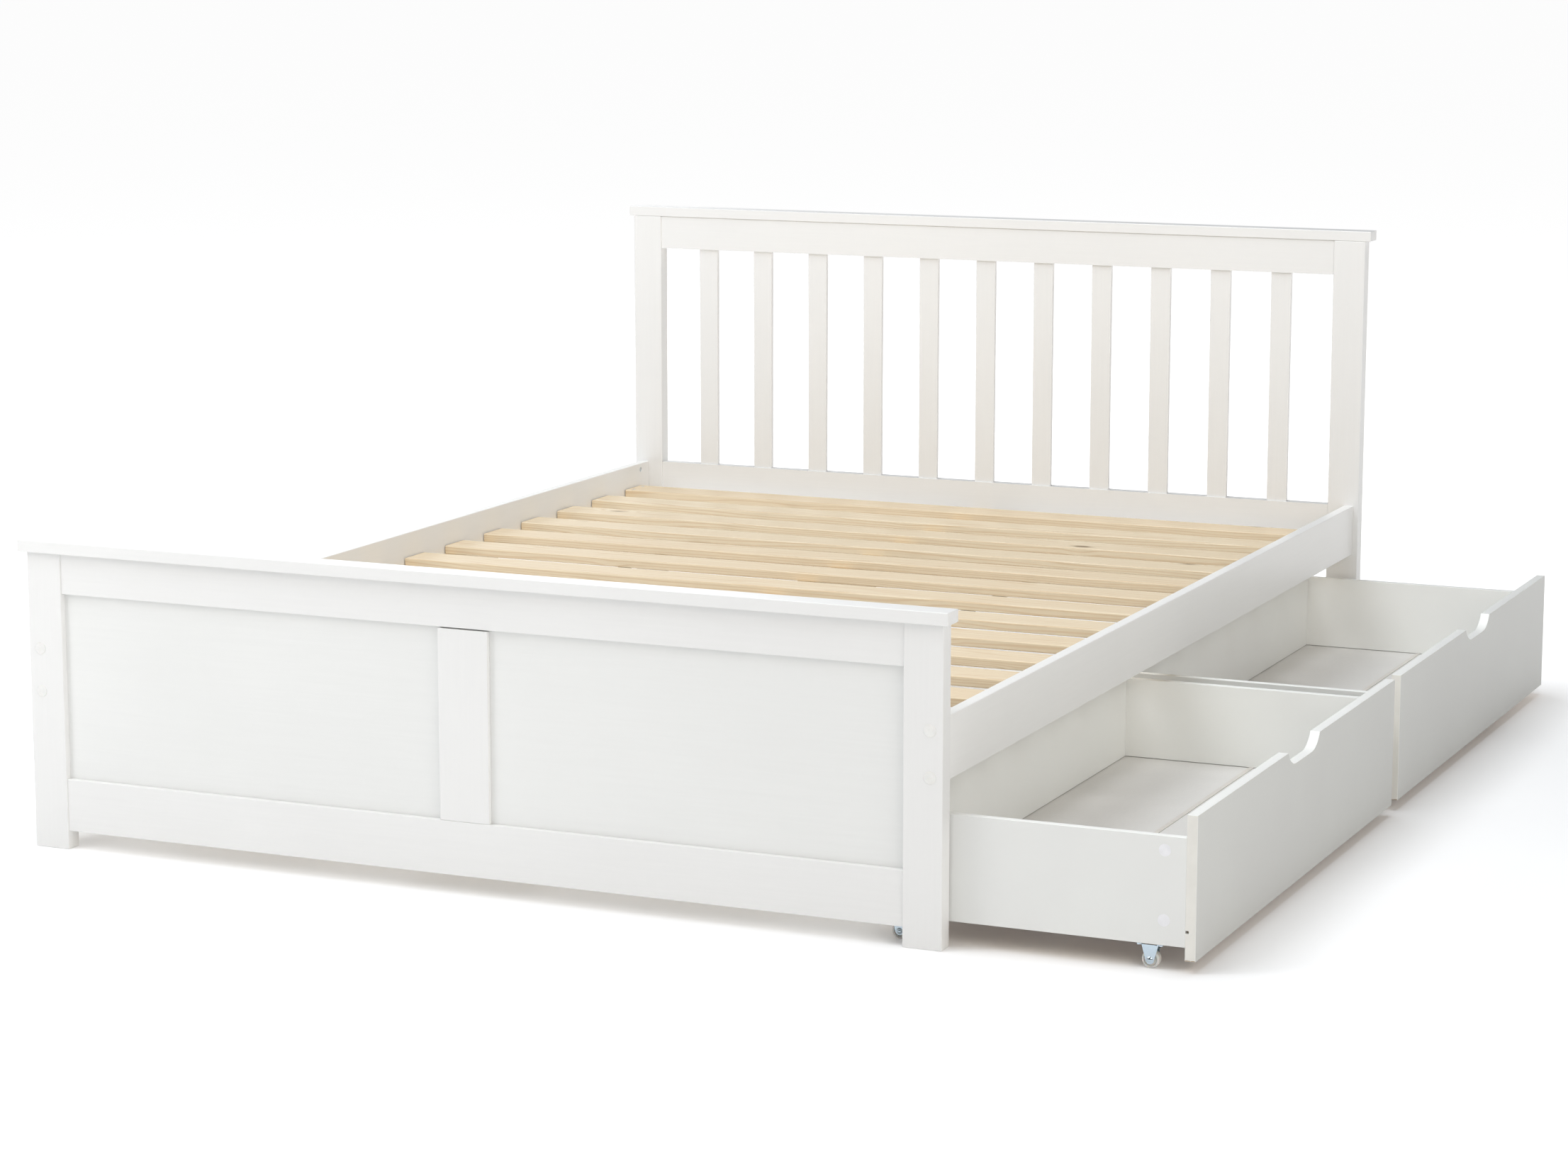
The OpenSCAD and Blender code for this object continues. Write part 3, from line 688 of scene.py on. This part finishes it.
# Inner faces and top edges: this foil is lighter than the outer sides' foil, painted light and shade.
foil = foil_board("white_foil", FOIL)
# Drawer fronts' outer faces: the darker foil is painted shade.
front_foil_painted_shade = foil_board("white_foil_front_painted_shade", FRONT_FOIL_PAINTED_SHADE)
side_foil = foil_board("white_foil_side", SIDE_FOIL)
bare_board = raw_board("bare_chipboard")
bottom_face = drawer_bottom("lacquered_hardboard")
bottom_back = raw_hardboard("bare_hardboard")
joiner_plastic = plastic("beige_plastic", JOINER_BEIGE, roughness=0.32, softness=0.05)
# Joining strip's edges: the white is a painted highlight.
joiner_painted_highlight = plastic("painted_highlight_plastic_edge", JOINER_PAINTED_HIGHLIGHT, roughness=0.25, softness=0.05)
plug_plastic = plastic("white_plug_plastic", PLUG_WHITE, roughness=0.30, softness=0.08)
disc_film = plastic("pale_lilac_film", DISC_LILAC, roughness=0.38)
nylon = plastic("pale_nylon", NYLON, roughness=0.34, softness=0.25)
zinc_sheet = plated_metal("blue_zinc_sheet", ZINC_SHEET, roughness=0.13, contrast=0.02)
zinc_screw = plated_metal("blue_zinc_fittings", ZINC_FITTING, roughness=0.30, contrast=0.06)
bolt_metal = plated_metal("bolt_steel", STEEL, roughness=0.36, contrast=0.06)
pine_x = bare_wood("pine_grain_x", X, PINE_PALE, PINE_DARK, ring_pitch=9 * MM, tone_share=0.22)
pine_y = bare_wood("pine_grain_y", Y, PINE_PALE, PINE_DARK, ring_pitch=8 * MM)
pine_z = bare_wood("pine_grain_z", Z, PINE_PALE, PINE_DARK, ring_pitch=8 * MM)
beech = bare_wood("beech_dowels", X, BEECH_PALE, BEECH_DARK, ring_pitch=2.5 * MM, knots=False)
tape = woven_tape("cotton_webbing")


# ---------------------------------------------------------------- frame boards

def frame_boards():
    """Posts, cap boards, rails, battens and headboard slats."""
    for end in ("foot", "head"):
        for side in ("left", "right"):
            refine(f"{end}_post_{side}", PAINT_ROUND, paint_z)
        refine(f"{end}_cap", CAP_ROUND, paint_x)
        refine(f"{end}_top_rail", PAINT_ROUND, paint_x, along=X)
    refine("foot_bottom_rail", PAINT_ROUND, paint_x, along=X)
    refine("head_lower_rail", PAINT_ROUND, paint_x, along=X)
    refine("foot_panel", PLASTIC_ROUND, panel_paint)
    refine("foot_stile", CAP_ROUND, paint_z)
    refine("foot_back_stile", CAP_ROUND, paint_z)
    refine("head_slats", PAINT_ROUND, paint_z, along=Z)
    for side in ("left", "right"):
        refine(f"side_rail_{side}", PAINT_ROUND, paint_y_painted_light, along=Y)
        refine(f"slat_ledger_{side}", SAWN_ROUND, pine_y)
    refine("centre_beam", SAWN_ROUND, pine_y, along=Y)
    refine("centre_leg", SAWN_ROUND, pine_z, along=Z)


def bed_slats():
    """The slats, each with its own tone of pine."""
    draw = random.Random(11)
    bm = solid_mesh("bed_slats")
    round_edges(bm, arrises(bm, X), PINE_ROUND, segments=4)
    tone = bm.faces.layers.float.new("tone")
    for group in solid_groups(bm):
        value = draw.random()
        for face in sorted({f for v in group for f in v.link_faces}, key=lambda f: f.index):
            face[tone] = value
    replace_node("bed_slats", bm, pine_x)


# ---------------------------------------------------------------- straps

def slat_straps():
    """Two webbing straps stapled under the slats, sagging a little in the gaps."""
    slats = sorted(solid_boxes("bed_slats"), key=lambda box: box[0].y)
    strap = bmesh.new()
    staples = bmesh.new()
    for low, high in solid_boxes("slat_straps"):
        run_strap(strap, low, high, slats)
        for slat_low, slat_high in slats:
            middle = (slat_low.y + slat_high.y) / 2
            for y in (middle - STAPLE_FROM_MIDDLE, middle + STAPLE_FROM_MIDDLE):
                centre = Vector(((low.x + high.x) / 2, y, low.z))
                half = Vector((STAPLE_W / 2, STAPLE_WIRE / 2, STAPLE_WIRE / 2))
                rounded_box(staples, centre - half, centre + half, STAPLE_ROUND)
    replace_node("slat_straps", strap, tape)
    make_piece("strap_staples", staples, "frame", "zinc_fitting", (zinc_screw,))


def strap_stations(low, high, slats):
    """Where a strap runs, as (y, drop): level under each slat, and hanging between them."""
    stations = [(low.y, 0.0)]
    for (a_low, a_high), (b_low, _) in zip(slats, slats[1:]):
        stations.append((a_high.y - (a_high.y - a_low.y) / 2, 0.0))
        gap = b_low.y - a_high.y
        for i in range(STRAP_STEPS + 1):
            t = i / STRAP_STEPS
            stations.append((a_high.y + gap * t, STRAP_SAG * 4 * t * (1 - t)))
    return stations + [(high.y, 0.0)]


def run_strap(bm, low, high, slats):
    """One strap as a closed ribbon along Y with softened edges."""
    x0, x1, z0, z1 = low.x, high.x, low.z, high.z
    e = STRAP_EDGE
    outline = [(x0, z0 + e), (x0 + e, z0), (x1 - e, z0), (x1, z0 + e)]
    outline += [(x1, z1 - e), (x1 - e, z1), (x0 + e, z1), (x0, z1 - e)]
    stations = strap_stations(low, high, slats)
    rings = [[bm.verts.new((x, y, z - drop)) for x, z in outline] for y, drop in stations]
    for a, b in zip(rings, rings[1:]):
        bridge(bm, a, b)
    bm.faces.new(rings[0])
    bm.faces.new(list(reversed(rings[-1])))
    bmesh.ops.recalc_face_normals(bm, faces=bm.faces)


# ---------------------------------------------------------------- screws and plugs

def measure_screw(group):
    """A CAD screw's head place, direction into the wood, length, head radius and shank radius."""
    low, high = box_of(group)
    axis = max((X, Y, Z), key=lambda i: high[i] - low[i])
    middle = (low + high) / 2

    def reach(level):
        ends = [v.co for v in group if abs(v.co[axis] - level) < ON_PLANE]
        offsets = [co - middle for co in ends]
        return max(math.sqrt(o.length_squared - o[axis] ** 2) for o in offsets)

    at_low, at_high = reach(low[axis]), reach(high[axis])
    head_level, into = (low[axis], 1) if at_low > at_high else (high[axis], -1)
    head = middle.copy()
    head[axis] = head_level
    return head, AXES[axis] * into, high[axis] - low[axis], max(at_low, at_high), min(at_low, at_high)


def cross_recess(bm, rim, centre, into, radius):
    """Closes a screw head with a cross-shaped recess inside its rim."""
    side = into.orthogonal().normalized()
    up = into.cross(side)
    w, a = CROSS_HALF_W * radius, CROSS_ARM * radius
    corners = [(w, w), (w, a), (-w, a), (-w, w), (-a, w), (-a, -w)]
    corners += [(-p, -q) for p, q in corners]
    floor = centre + into * radius * CROSS_DEPTH
    top = [bm.verts.new(centre + side * p + up * q) for p, q in corners]
    deep = [bm.verts.new(floor + (side * p + up * q) * CROSS_TAPER) for p, q in corners]
    bridge(bm, top, deep)
    bm.faces.new(deep)
    bmesh.ops.triangle_fill(bm, edges=loop_edges(bm, rim) + loop_edges(bm, top), use_beauty=True)


def loop_edges(bm, corners):
    """The edges round a loop of vertices, made where there are none."""
    pairs = zip(corners, corners[1:] + corners[:1])
    return [bm.edges.get(pair) or bm.edges.new(pair) for pair in pairs]


def turn_screw(bm, head, into, length, head_r, shank_r):
    """A cross-recessed screw: countersunk, or with a pan head where the head stands on its plate."""
    tip = 2.0 * shank_r
    if head_r < PAN_HEAD_BELOW:
        pan = [(0, 0.78), (0.25, 0.94), (0.6, 1.0), (1.0, 1.0)]
        profile = [(PAN_HEAD_H * deep, head_r * wide) for deep, wide in pan] + [(PAN_HEAD_H, shank_r)]
    else:
        head_h = head_r - shank_r + HEAD_NECK
        profile = [(0, head_r - HEAD_RIM), (HEAD_RIM, head_r), (head_h, shank_r)]
    profile += [(length - tip, shank_r), (length, 0)]
    rings = lathe(bm, head, into, profile, segments=24)
    cross_recess(bm, rings[0], head, into, profile[0][1])


def finish_screws(node):
    """Every screw of a node, with its drive; plain pins get softened ends."""
    source = solid_mesh(node)
    bm = bmesh.new()
    for group in solid_groups(source):
        head, into, length, head_r, shank_r = measure_screw(group)
        if head_r > shank_r * HEAD_WIDER_THAN:
            turn_screw(bm, head, into, length, head_r, shank_r)
        else:
            pin = [(0, 0), (0, head_r - PIN_SOFT), (PIN_SOFT, head_r), (length - PIN_SOFT, head_r)]
            lathe(bm, head, into, pin + [(length, head_r - PIN_SOFT), (length, 0)], segments=24)
    source.free()
    bmesh.ops.recalc_face_normals(bm, faces=bm.faces)
    replace_node(node, bm, zinc_screw)


def bolt_plugs():
    """Shallow domed caps over the corner bolts."""
    bm = bmesh.new()
    for low, high in solid_boxes("bolt_plugs"):
        outward = Vector((0, 1 if low.y > 0 else -1, 0))
        inner_y = min(low.y, high.y, key=abs)
        centre = Vector(((low.x + high.x) / 2, inner_y, (low.z + high.z) / 2))
        lip_r = (high.x - low.x) / 2
        depth = high.y - low.y
        seat = depth - PLUG_LIP
        profile = [(0, 0), (0, lip_r - PLUG_SHANK_INSET), (seat, lip_r - PLUG_SEAT_INSET), (seat, lip_r)]
        profile += [(seat + PLUG_LIP * rise, lip_r - inset * MM) for rise, inset in PLUG_DOME]
        profile += [(depth, 0)]
        lathe(bm, centre, outward, profile, segments=64)
    bmesh.ops.recalc_face_normals(bm, faces=bm.faces)
    replace_node("bolt_plugs", bm, plug_plastic)


def cover_discs(node):
    """Thin stick-on discs over the cam locks, with a soft edge."""
    bm = bmesh.new()
    middle_y = sum(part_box(node.replace("cover_discs", "front"))[i].y for i in (0, 1)) / 2
    for low, high in solid_boxes(node):
        outward = Vector((0, 1 if low.y > middle_y else -1, 0))
        start_y = low.y if outward.y > 0 else high.y
        centre = Vector(((low.x + high.x) / 2, start_y, (low.z + high.z) / 2))
        radius = (high.x - low.x) / 2
        t = high.y - low.y
        shoulder, top = (radius - inset for inset in DISC_INSETS)
        profile = [(0, 0), (0, radius), (t * 0.5, radius), (t * 0.85, shoulder), (t, top), (t, radius * 0.5)]
        lathe(bm, centre, outward, profile + [(t, 0)], segments=64)
    bmesh.ops.recalc_face_normals(bm, faces=bm.faces)
    replace_node(node, bm, disc_film)


# ---------------------------------------------------------------- drawers

def is_underside(face, low):
    """Whether a face belongs to the underside of a board whose lowest corner is low."""
    return face.normal.z < -FACING and face.calc_center_median().z < low.z + NEAR_EDGE


def cut_out_edges(bm, low, high):
    """The edges of the hand cut-out on the front's two faces."""
    chosen = set()
    for edge in bm.edges:
        on_face = any(all(abs(v.co.x - level) < ON_PLANE for v in edge.verts) for level in (low.x, high.x))
        in_cut = all(v.co.z > high.z - CUT_DEPTH - ON_PLANE for v in edge.verts)
        if on_face and in_cut and len(edge.link_faces) == 2 and edge.calc_face_angle() > CORNER_ANGLE:
            chosen.add(edge)
    return chosen


def front_faces(low, high):
    """Material numbers of a drawer front: 0 inner foil, 1 end band, 2 bare board, 3 outer foil darkened as
    painted shade.
    """
    def number(face):
        middle = face.calc_center_median()
        at_end = not low.y + NEAR_EDGE < middle.y < high.y - NEAR_EDGE
        if is_underside(face, low):
            return 2
        if abs(face.normal.y) > FACING and at_end:
            return 1
        return 3 if face.normal.x > FACING else 0
    return number


def drawer_front(drawer):
    """The front board: foil faces, the outer one darkened as painted shade, cream ends, bare underside and
    softened hand cut-out.
    """
    node = f"{drawer}_front"
    low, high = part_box(node)
    bm = solid_mesh(node)
    edges = set(arrises(bm)) | cut_out_edges(bm, low, high)
    round_edges(bm, sorted(edges, key=lambda e: e.index), FOIL_ROUND)
    number_faces(bm, front_faces(low, high))
    band = edge_band(f"{drawer}_cream_edge_band", low.z)
    replace_node(node, bm, foil, band, bare_board, front_foil_painted_shade)


def panel_faces(low, outward):
    """Material numbers of a drawer panel: 0 inner foil, lighter than the outer as painted light and shade, 1
    bare board underneath, 2 outer foil.
    """
    def number(face):
        if is_underside(face, low):
            return 1
        return 2 if face.normal.y * outward > FACING else 0
    return number


def joiner_faces(face):
    """Material numbers of the joining strip: 1 on its slanted edges, a painted highlight."""
    return 1 if abs(face.normal.x) > 0.2 and abs(face.normal.z) > 0.2 else 0


def drawer_boards(drawer):
    """Side and back panels, bottoms, joining strip with painted highlights on its edges, and the strips
    under the bottom.
    """
    for part, outward in (("side_foot", -1), ("side_head", 1), ("back", 0)):
        node = f"{drawer}_{part}"
        refine(node, FOIL_ROUND, foil, bare_board, side_foil, paint=panel_faces(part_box(node)[0], outward))
    refine(f"{drawer}_bottoms", PLASTIC_ROUND, bottom_face, bottom_back,
           paint=lambda face: 0 if face.normal.z > 0.5 else 1)
    joiner = solid_mesh(f"{drawer}_joiner")
    round_edges(joiner, long_outer_edges(joiner, Y), JOINER_ROUND)
    number_faces(joiner, joiner_faces)
    replace_node(f"{drawer}_joiner", joiner, joiner_plastic, joiner_painted_highlight)
    refine(f"{drawer}_cleats", SAWN_ROUND, pine_y)


def long_outer_edges(bm, along):
    """The outward edges that run along an axis."""
    chosen = []
    for edge in bm.edges:
        run = edge.verts[1].co - edge.verts[0].co
        if len(edge.link_faces) == 2 and abs(run[along]) > ALONG * run.length:
            if edge.calc_face_angle_signed() > CORNER_ANGLE:
                chosen.append(edge)
    return chosen


# ---------------------------------------------------------------- casters

def cheek_half_width(height, top):
    """Half the width of a caster's cheek at a height over the axle: a taper that ends in a half circle."""
    reach = math.hypot(CHEEK_TOP_W / 2, top)
    turn = math.atan2(top, CHEEK_TOP_W / 2) - math.acos(CHEEK_END_R / reach)
    touch_x, touch_z = CHEEK_END_R * math.cos(turn), CHEEK_END_R * math.sin(turn)
    if height <= touch_z:
        return math.sqrt(max(CHEEK_END_R ** 2 - height ** 2, 0.0))
    return touch_x + (CHEEK_TOP_W / 2 - touch_x) * (height - touch_z) / (top - touch_z)


def fork_section(top):
    """Outer points of the folded fork from one cheek's end over the fold to the other: (y, z, normal)."""
    fold_z = top - FOLD_R
    side = []
    for degrees in (-82, -70, -55, -40, -25, -12, 0):
        side.append((FORK_W / 2, CHEEK_END_R * math.sin(math.radians(degrees)), (1.0, 0.0)))
    for i in range(1, 9):
        side.append((FORK_W / 2, fold_z * i / 8, (1.0, 0.0)))
    for degrees in range(15, 91, 15):
        c, s = math.cos(math.radians(degrees)), math.sin(math.radians(degrees))
        side.append((FORK_W / 2 - FOLD_R * (1 - c), fold_z + FOLD_R * s, (c, s)))
    flat = [(FORK_W / 2 - FOLD_R - i * MM, top, (0.0, 1.0)) for i in (2, 4)]
    half = side + flat
    return half + [(-y, z, (-n[0], n[1])) for y, z, n in reversed(half)]


def fork(bm, axle, top):
    """The fork of one caster as a bent sheet with tapering cheeks."""
    columns = [-1, -0.75, -0.5, -0.25, 0, 0.25, 0.5, 0.75, 1]
    outer, inner = [], []
    for y, z, normal in fork_section(top):
        half = min(cheek_half_width(min(z, top), top), CHEEK_TOP_W / 2)
        outer.append([bm.verts.new(axle + Vector((u * half, y, z))) for u in columns])
        y_in, z_in = y - SHEET_T * normal[0], z - SHEET_T * normal[1]
        inner.append([bm.verts.new(axle + Vector((u * half, y_in, z_in))) for u in columns])
    last = len(columns) - 1
    for i in range(len(outer) - 1):
        for j in range(last):
            bm.faces.new((outer[i][j], outer[i][j + 1], outer[i + 1][j + 1], outer[i + 1][j]))
            bm.faces.new((inner[i][j], inner[i + 1][j], inner[i + 1][j + 1], inner[i][j + 1]))
        bm.faces.new((outer[i][0], outer[i + 1][0], inner[i + 1][0], inner[i][0]))
        bm.faces.new((outer[i][last], inner[i][last], inner[i + 1][last], outer[i + 1][last]))
    for k in (0, -1):
        for j in range(last):
            bm.faces.new((outer[k][j], outer[k][j + 1], inner[k][j + 1], inner[k][j]))


def mounting_tab(bm, low, high, outer_side):
    """One screw tab of the plate, with its two outer corners rounded."""
    r = TAB_CORNER_R
    if outer_side > 0:
        outline = [(low.x, low.y)]
        outline += arc((high.x - r, low.y + r), r, -90, 0, 6)
        outline += arc((high.x - r, high.y - r), r, 0, 90, 6)
        outline += [(low.x, high.y)]
    else:
        outline = arc((low.x + r, low.y + r), r, 180, 270, 6)
        outline += [(high.x, low.y), (high.x, high.y)]
        outline += arc((low.x + r, high.y - r), r, 90, 180, 6)
    extrude_outline(bm, outline, low.z, high.z - low.z)


def caster_bracket(bm, low, high, axle):
    """One bracket: the fork and its two screw tabs."""
    part = bmesh.new()
    top = high.z - axle.z
    fork(part, axle, top)
    bmesh.ops.remove_doubles(part, verts=part.verts, dist=WELD)
    bmesh.ops.recalc_face_normals(part, faces=part.faces)
    round_edges(part, sharp_edges(part), SHEET_ROUND, segments=2)
    for outer_side in (-1, 1):
        tab = bmesh.new()
        inner_x = axle.x + outer_side * (CHEEK_TOP_W / 2 - TAB_OVERLAP)
        x0, x1 = sorted((inner_x, high.x if outer_side > 0 else low.x))
        tab_low = Vector((x0, low.y, high.z - PLATE_T))
        tab_high = Vector((x1, high.y, high.z - TAB_LOWER_BY))
        mounting_tab(tab, tab_low, tab_high, outer_side)
        bmesh.ops.recalc_face_normals(tab, faces=tab.faces)
        round_edges(tab, sharp_edges(tab), TAB_ROUND, segments=2)
        join(part, tab)
    join(bm, part)


def sharp_edges(bm):
    """The edges where two faces meet at a corner."""
    return [e for e in bm.edges if len(e.link_faces) == 2 and e.calc_face_angle() > CORNER_ANGLE]


def join(bm, other):
    """Adds another bmesh to bm and frees it."""
    mesh = bpy.data.meshes.new("joined")
    other.to_mesh(mesh)
    other.free()
    bm.from_mesh(mesh)
    bpy.data.meshes.remove(mesh)


def rivet(bm, axle):
    """The axle: a rod with a domed rivet head at each end."""
    dome_r = (RIVET_R ** 2 + RIVET_H ** 2) / (2 * RIVET_H)
    limit = math.asin(RIVET_R / dome_r)
    half = FORK_W / 2
    rim_h, rim_in, foot_in = 0.25 * MM, 0.05 * MM, 0.3 * MM
    steps = 6
    dome = []
    for i in range(steps):
        t = limit * i / steps
        dome.append((half + RIVET_H - dome_r * (1 - math.cos(t)), dome_r * math.sin(t)))
    dome += [(half + rim_h, RIVET_R - rim_in), (half, RIVET_R - foot_in)]
    right = dome + [(half, AXLE_R)]
    profile = [(-along, radius) for along, radius in right] + list(reversed(right))
    lathe(bm, axle, AXES[Y], profile, segments=40)


def caster_wheel(node):
    """A moulded nylon wheel: hub, sunk web and a tread with round shoulders."""
    low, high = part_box(node)
    centre = (low + high) / 2
    wheel_r = (high.z - low.z) / 2
    hub_half = (high.y - low.y) / 2
    rim_half = hub_half - 0.5 * MM
    bore_r = AXLE_R + BORE_PLAY
    soft = 0.3 * MM
    web_half = rim_half - WEB_RECESS
    shoulder = arc((rim_half - TREAD_ROUND, wheel_r - TREAD_ROUND), TREAD_ROUND, 0, 90, 7)
    right = [(hub_half - soft, bore_r), (hub_half, bore_r + soft), (hub_half, HUB_R - soft),
             (hub_half - soft, HUB_R), (web_half + soft, HUB_R), (web_half, HUB_R + soft),
             (web_half, WEB_R - soft), (web_half + soft, WEB_R), (rim_half - soft, WEB_R),
             (rim_half, WEB_R + soft)]
    right += shoulder
    seam = 0.12 * MM
    middle = [(seam * 2, wheel_r - 0.02 * MM), (0, wheel_r - seam), (-seam * 2, wheel_r - 0.02 * MM)]
    profile = right + middle + [(-along, radius) for along, radius in reversed(right)]
    bm = bmesh.new()
    lathe(bm, centre, AXES[Y], profile, segments=64, closed=True)
    bmesh.ops.recalc_face_normals(bm, faces=bm.faces)
    replace_node(node, bm, nylon)


def casters(drawer):
    """A drawer's four casters. The brackets and axles are one piece each, the wheels are pieces of their
    own.
    """
    wheels = [f"{drawer}_wheel_{row}_{end}" for row in ("front", "rear") for end in ("foot", "head")]
    axles = [sum(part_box(wheel), Vector()) / 2 for wheel in wheels]
    brackets, rivets = bmesh.new(), bmesh.new()
    for low, high in solid_boxes(f"{drawer}_caster_brackets"):
        middle = (low + high) / 2
        axle = min(axles, key=lambda place: (place - middle).length)
        caster_bracket(brackets, low, high, axle)
        rivet(rivets, axle)
    bmesh.ops.recalc_face_normals(rivets, faces=rivets.faces)
    replace_node(f"{drawer}_caster_brackets", brackets, zinc_sheet)
    replace_node(f"{drawer}_caster_axles", rivets, zinc_sheet)
    for wheel in wheels:
        caster_wheel(wheel)


# ---------------------------------------------------------------- fittings that keep their CAD shape

def finish_cad_nodes():
    """Materials for the CAD nodes that are still shown."""
    materials = {
        "bolt_steel": bolt_metal,
        "zinc_fitting": zinc_screw,
        "zinc_plate": zinc_sheet,
        "beech": beech,
    }
    for name, node in nodes.items():
        if node.hide_render:
            continue
        node.data.materials.clear()
        node.data.materials.append(materials[slot_of[name]])


# ---------------------------------------------------------------- stage

WHITE = (1.0, 1.0, 1.0)
COOL_WHITE = (0.93, 0.96, 1.0)
WARM_WHITE = (1.0, 0.96, 0.91)


def studio():
    """The floor and the soft lights: each light's place and target, its size in metres and its watts."""
    half = FLOOR_HALF
    corners = [(-half, -half, 0), (half, -half, 0), (half, half, 0), (-half, half, 0)]
    mesh = bpy.data.meshes.new("floor")
    mesh.from_pydata(corners, [], [(0, 1, 2, 3)])
    mesh.materials.append(studio_floor("studio_floor"))
    floor = bpy.data.objects.new("floor", mesh)
    scene.collection.objects.link(floor)

    soft_box("front_right", (3.4, -4.6, 3.2), (0.3, 0.0, 0.3), 2.6, 48, WARM_WHITE)
    soft_box("right", (4.9, -2.8, 2.4), (0.5, -1.0, 0.3), 2.8, 80, WARM_WHITE)
    soft_box("overhead", (0.2, 0.0, 4.5), (0.1, 0.0, 0.0), 3.5, 128, COOL_WHITE)
    soft_box("over_the_foot", (-0.6, -2.2, 3.6), (0.2, 1.0, 0.6), 2.0, 58, COOL_WHITE)
    soft_box("near_left", (-2.0, -2.6, 1.6), (-0.6, -1.0, 0.3), 1.2, 22, WHITE)
    soft_box("rear_left", (-3.8, 4.6, 3.4), (-0.2, 0.2, 0.3), 3.2, 90, WHITE)


def soft_box(name, place, target, size, power, color):
    """A square area light aimed at a point."""
    light = bpy.data.lights.new(name, "AREA")
    light.size = size
    light.energy = power
    light.color = color
    lamp = bpy.data.objects.new(name, light)
    lamp.location = place
    lamp.rotation_euler = (Vector(target) - Vector(place)).to_track_quat("-Z", "Y").to_euler()
    scene.collection.objects.link(lamp)


def surroundings():
    """Even white light from all round."""
    world = bpy.data.worlds.new("studio")
    world.use_nodes = True
    scene.world = world
    background = world.node_tree.nodes["Background"]
    background.inputs["Color"].default_value = (1.0, 1.0, 1.0, 1.0)
    background.inputs["Strength"].default_value = SURROUNDINGS_STRENGTH


def place_camera():
    """The camera, in front of the footboard and to its right."""
    data = bpy.data.cameras.new("camera")
    data.lens = CAMERA_LENS
    data.clip_end = CAMERA_REACH
    camera = bpy.data.objects.new("camera", data)
    camera.location = CAMERA_PLACE
    camera.rotation_euler = (math.radians(90) + CAMERA_PITCH, 0, CAMERA_YAW)
    scene.collection.objects.link(camera)
    scene.camera = camera


place_camera()
frame_boards()
bed_slats()
slat_straps()
finish_screws("frame_screws")
bolt_plugs()
for drawer in DRAWERS:
    drawer_front(drawer)
    drawer_boards(drawer)
    cover_discs(f"{drawer}_cover_discs")
    finish_screws(f"{drawer}_screws")
    casters(drawer)
finish_cad_nodes()
studio()
surroundings()
scene.view_settings.view_transform = "Standard"
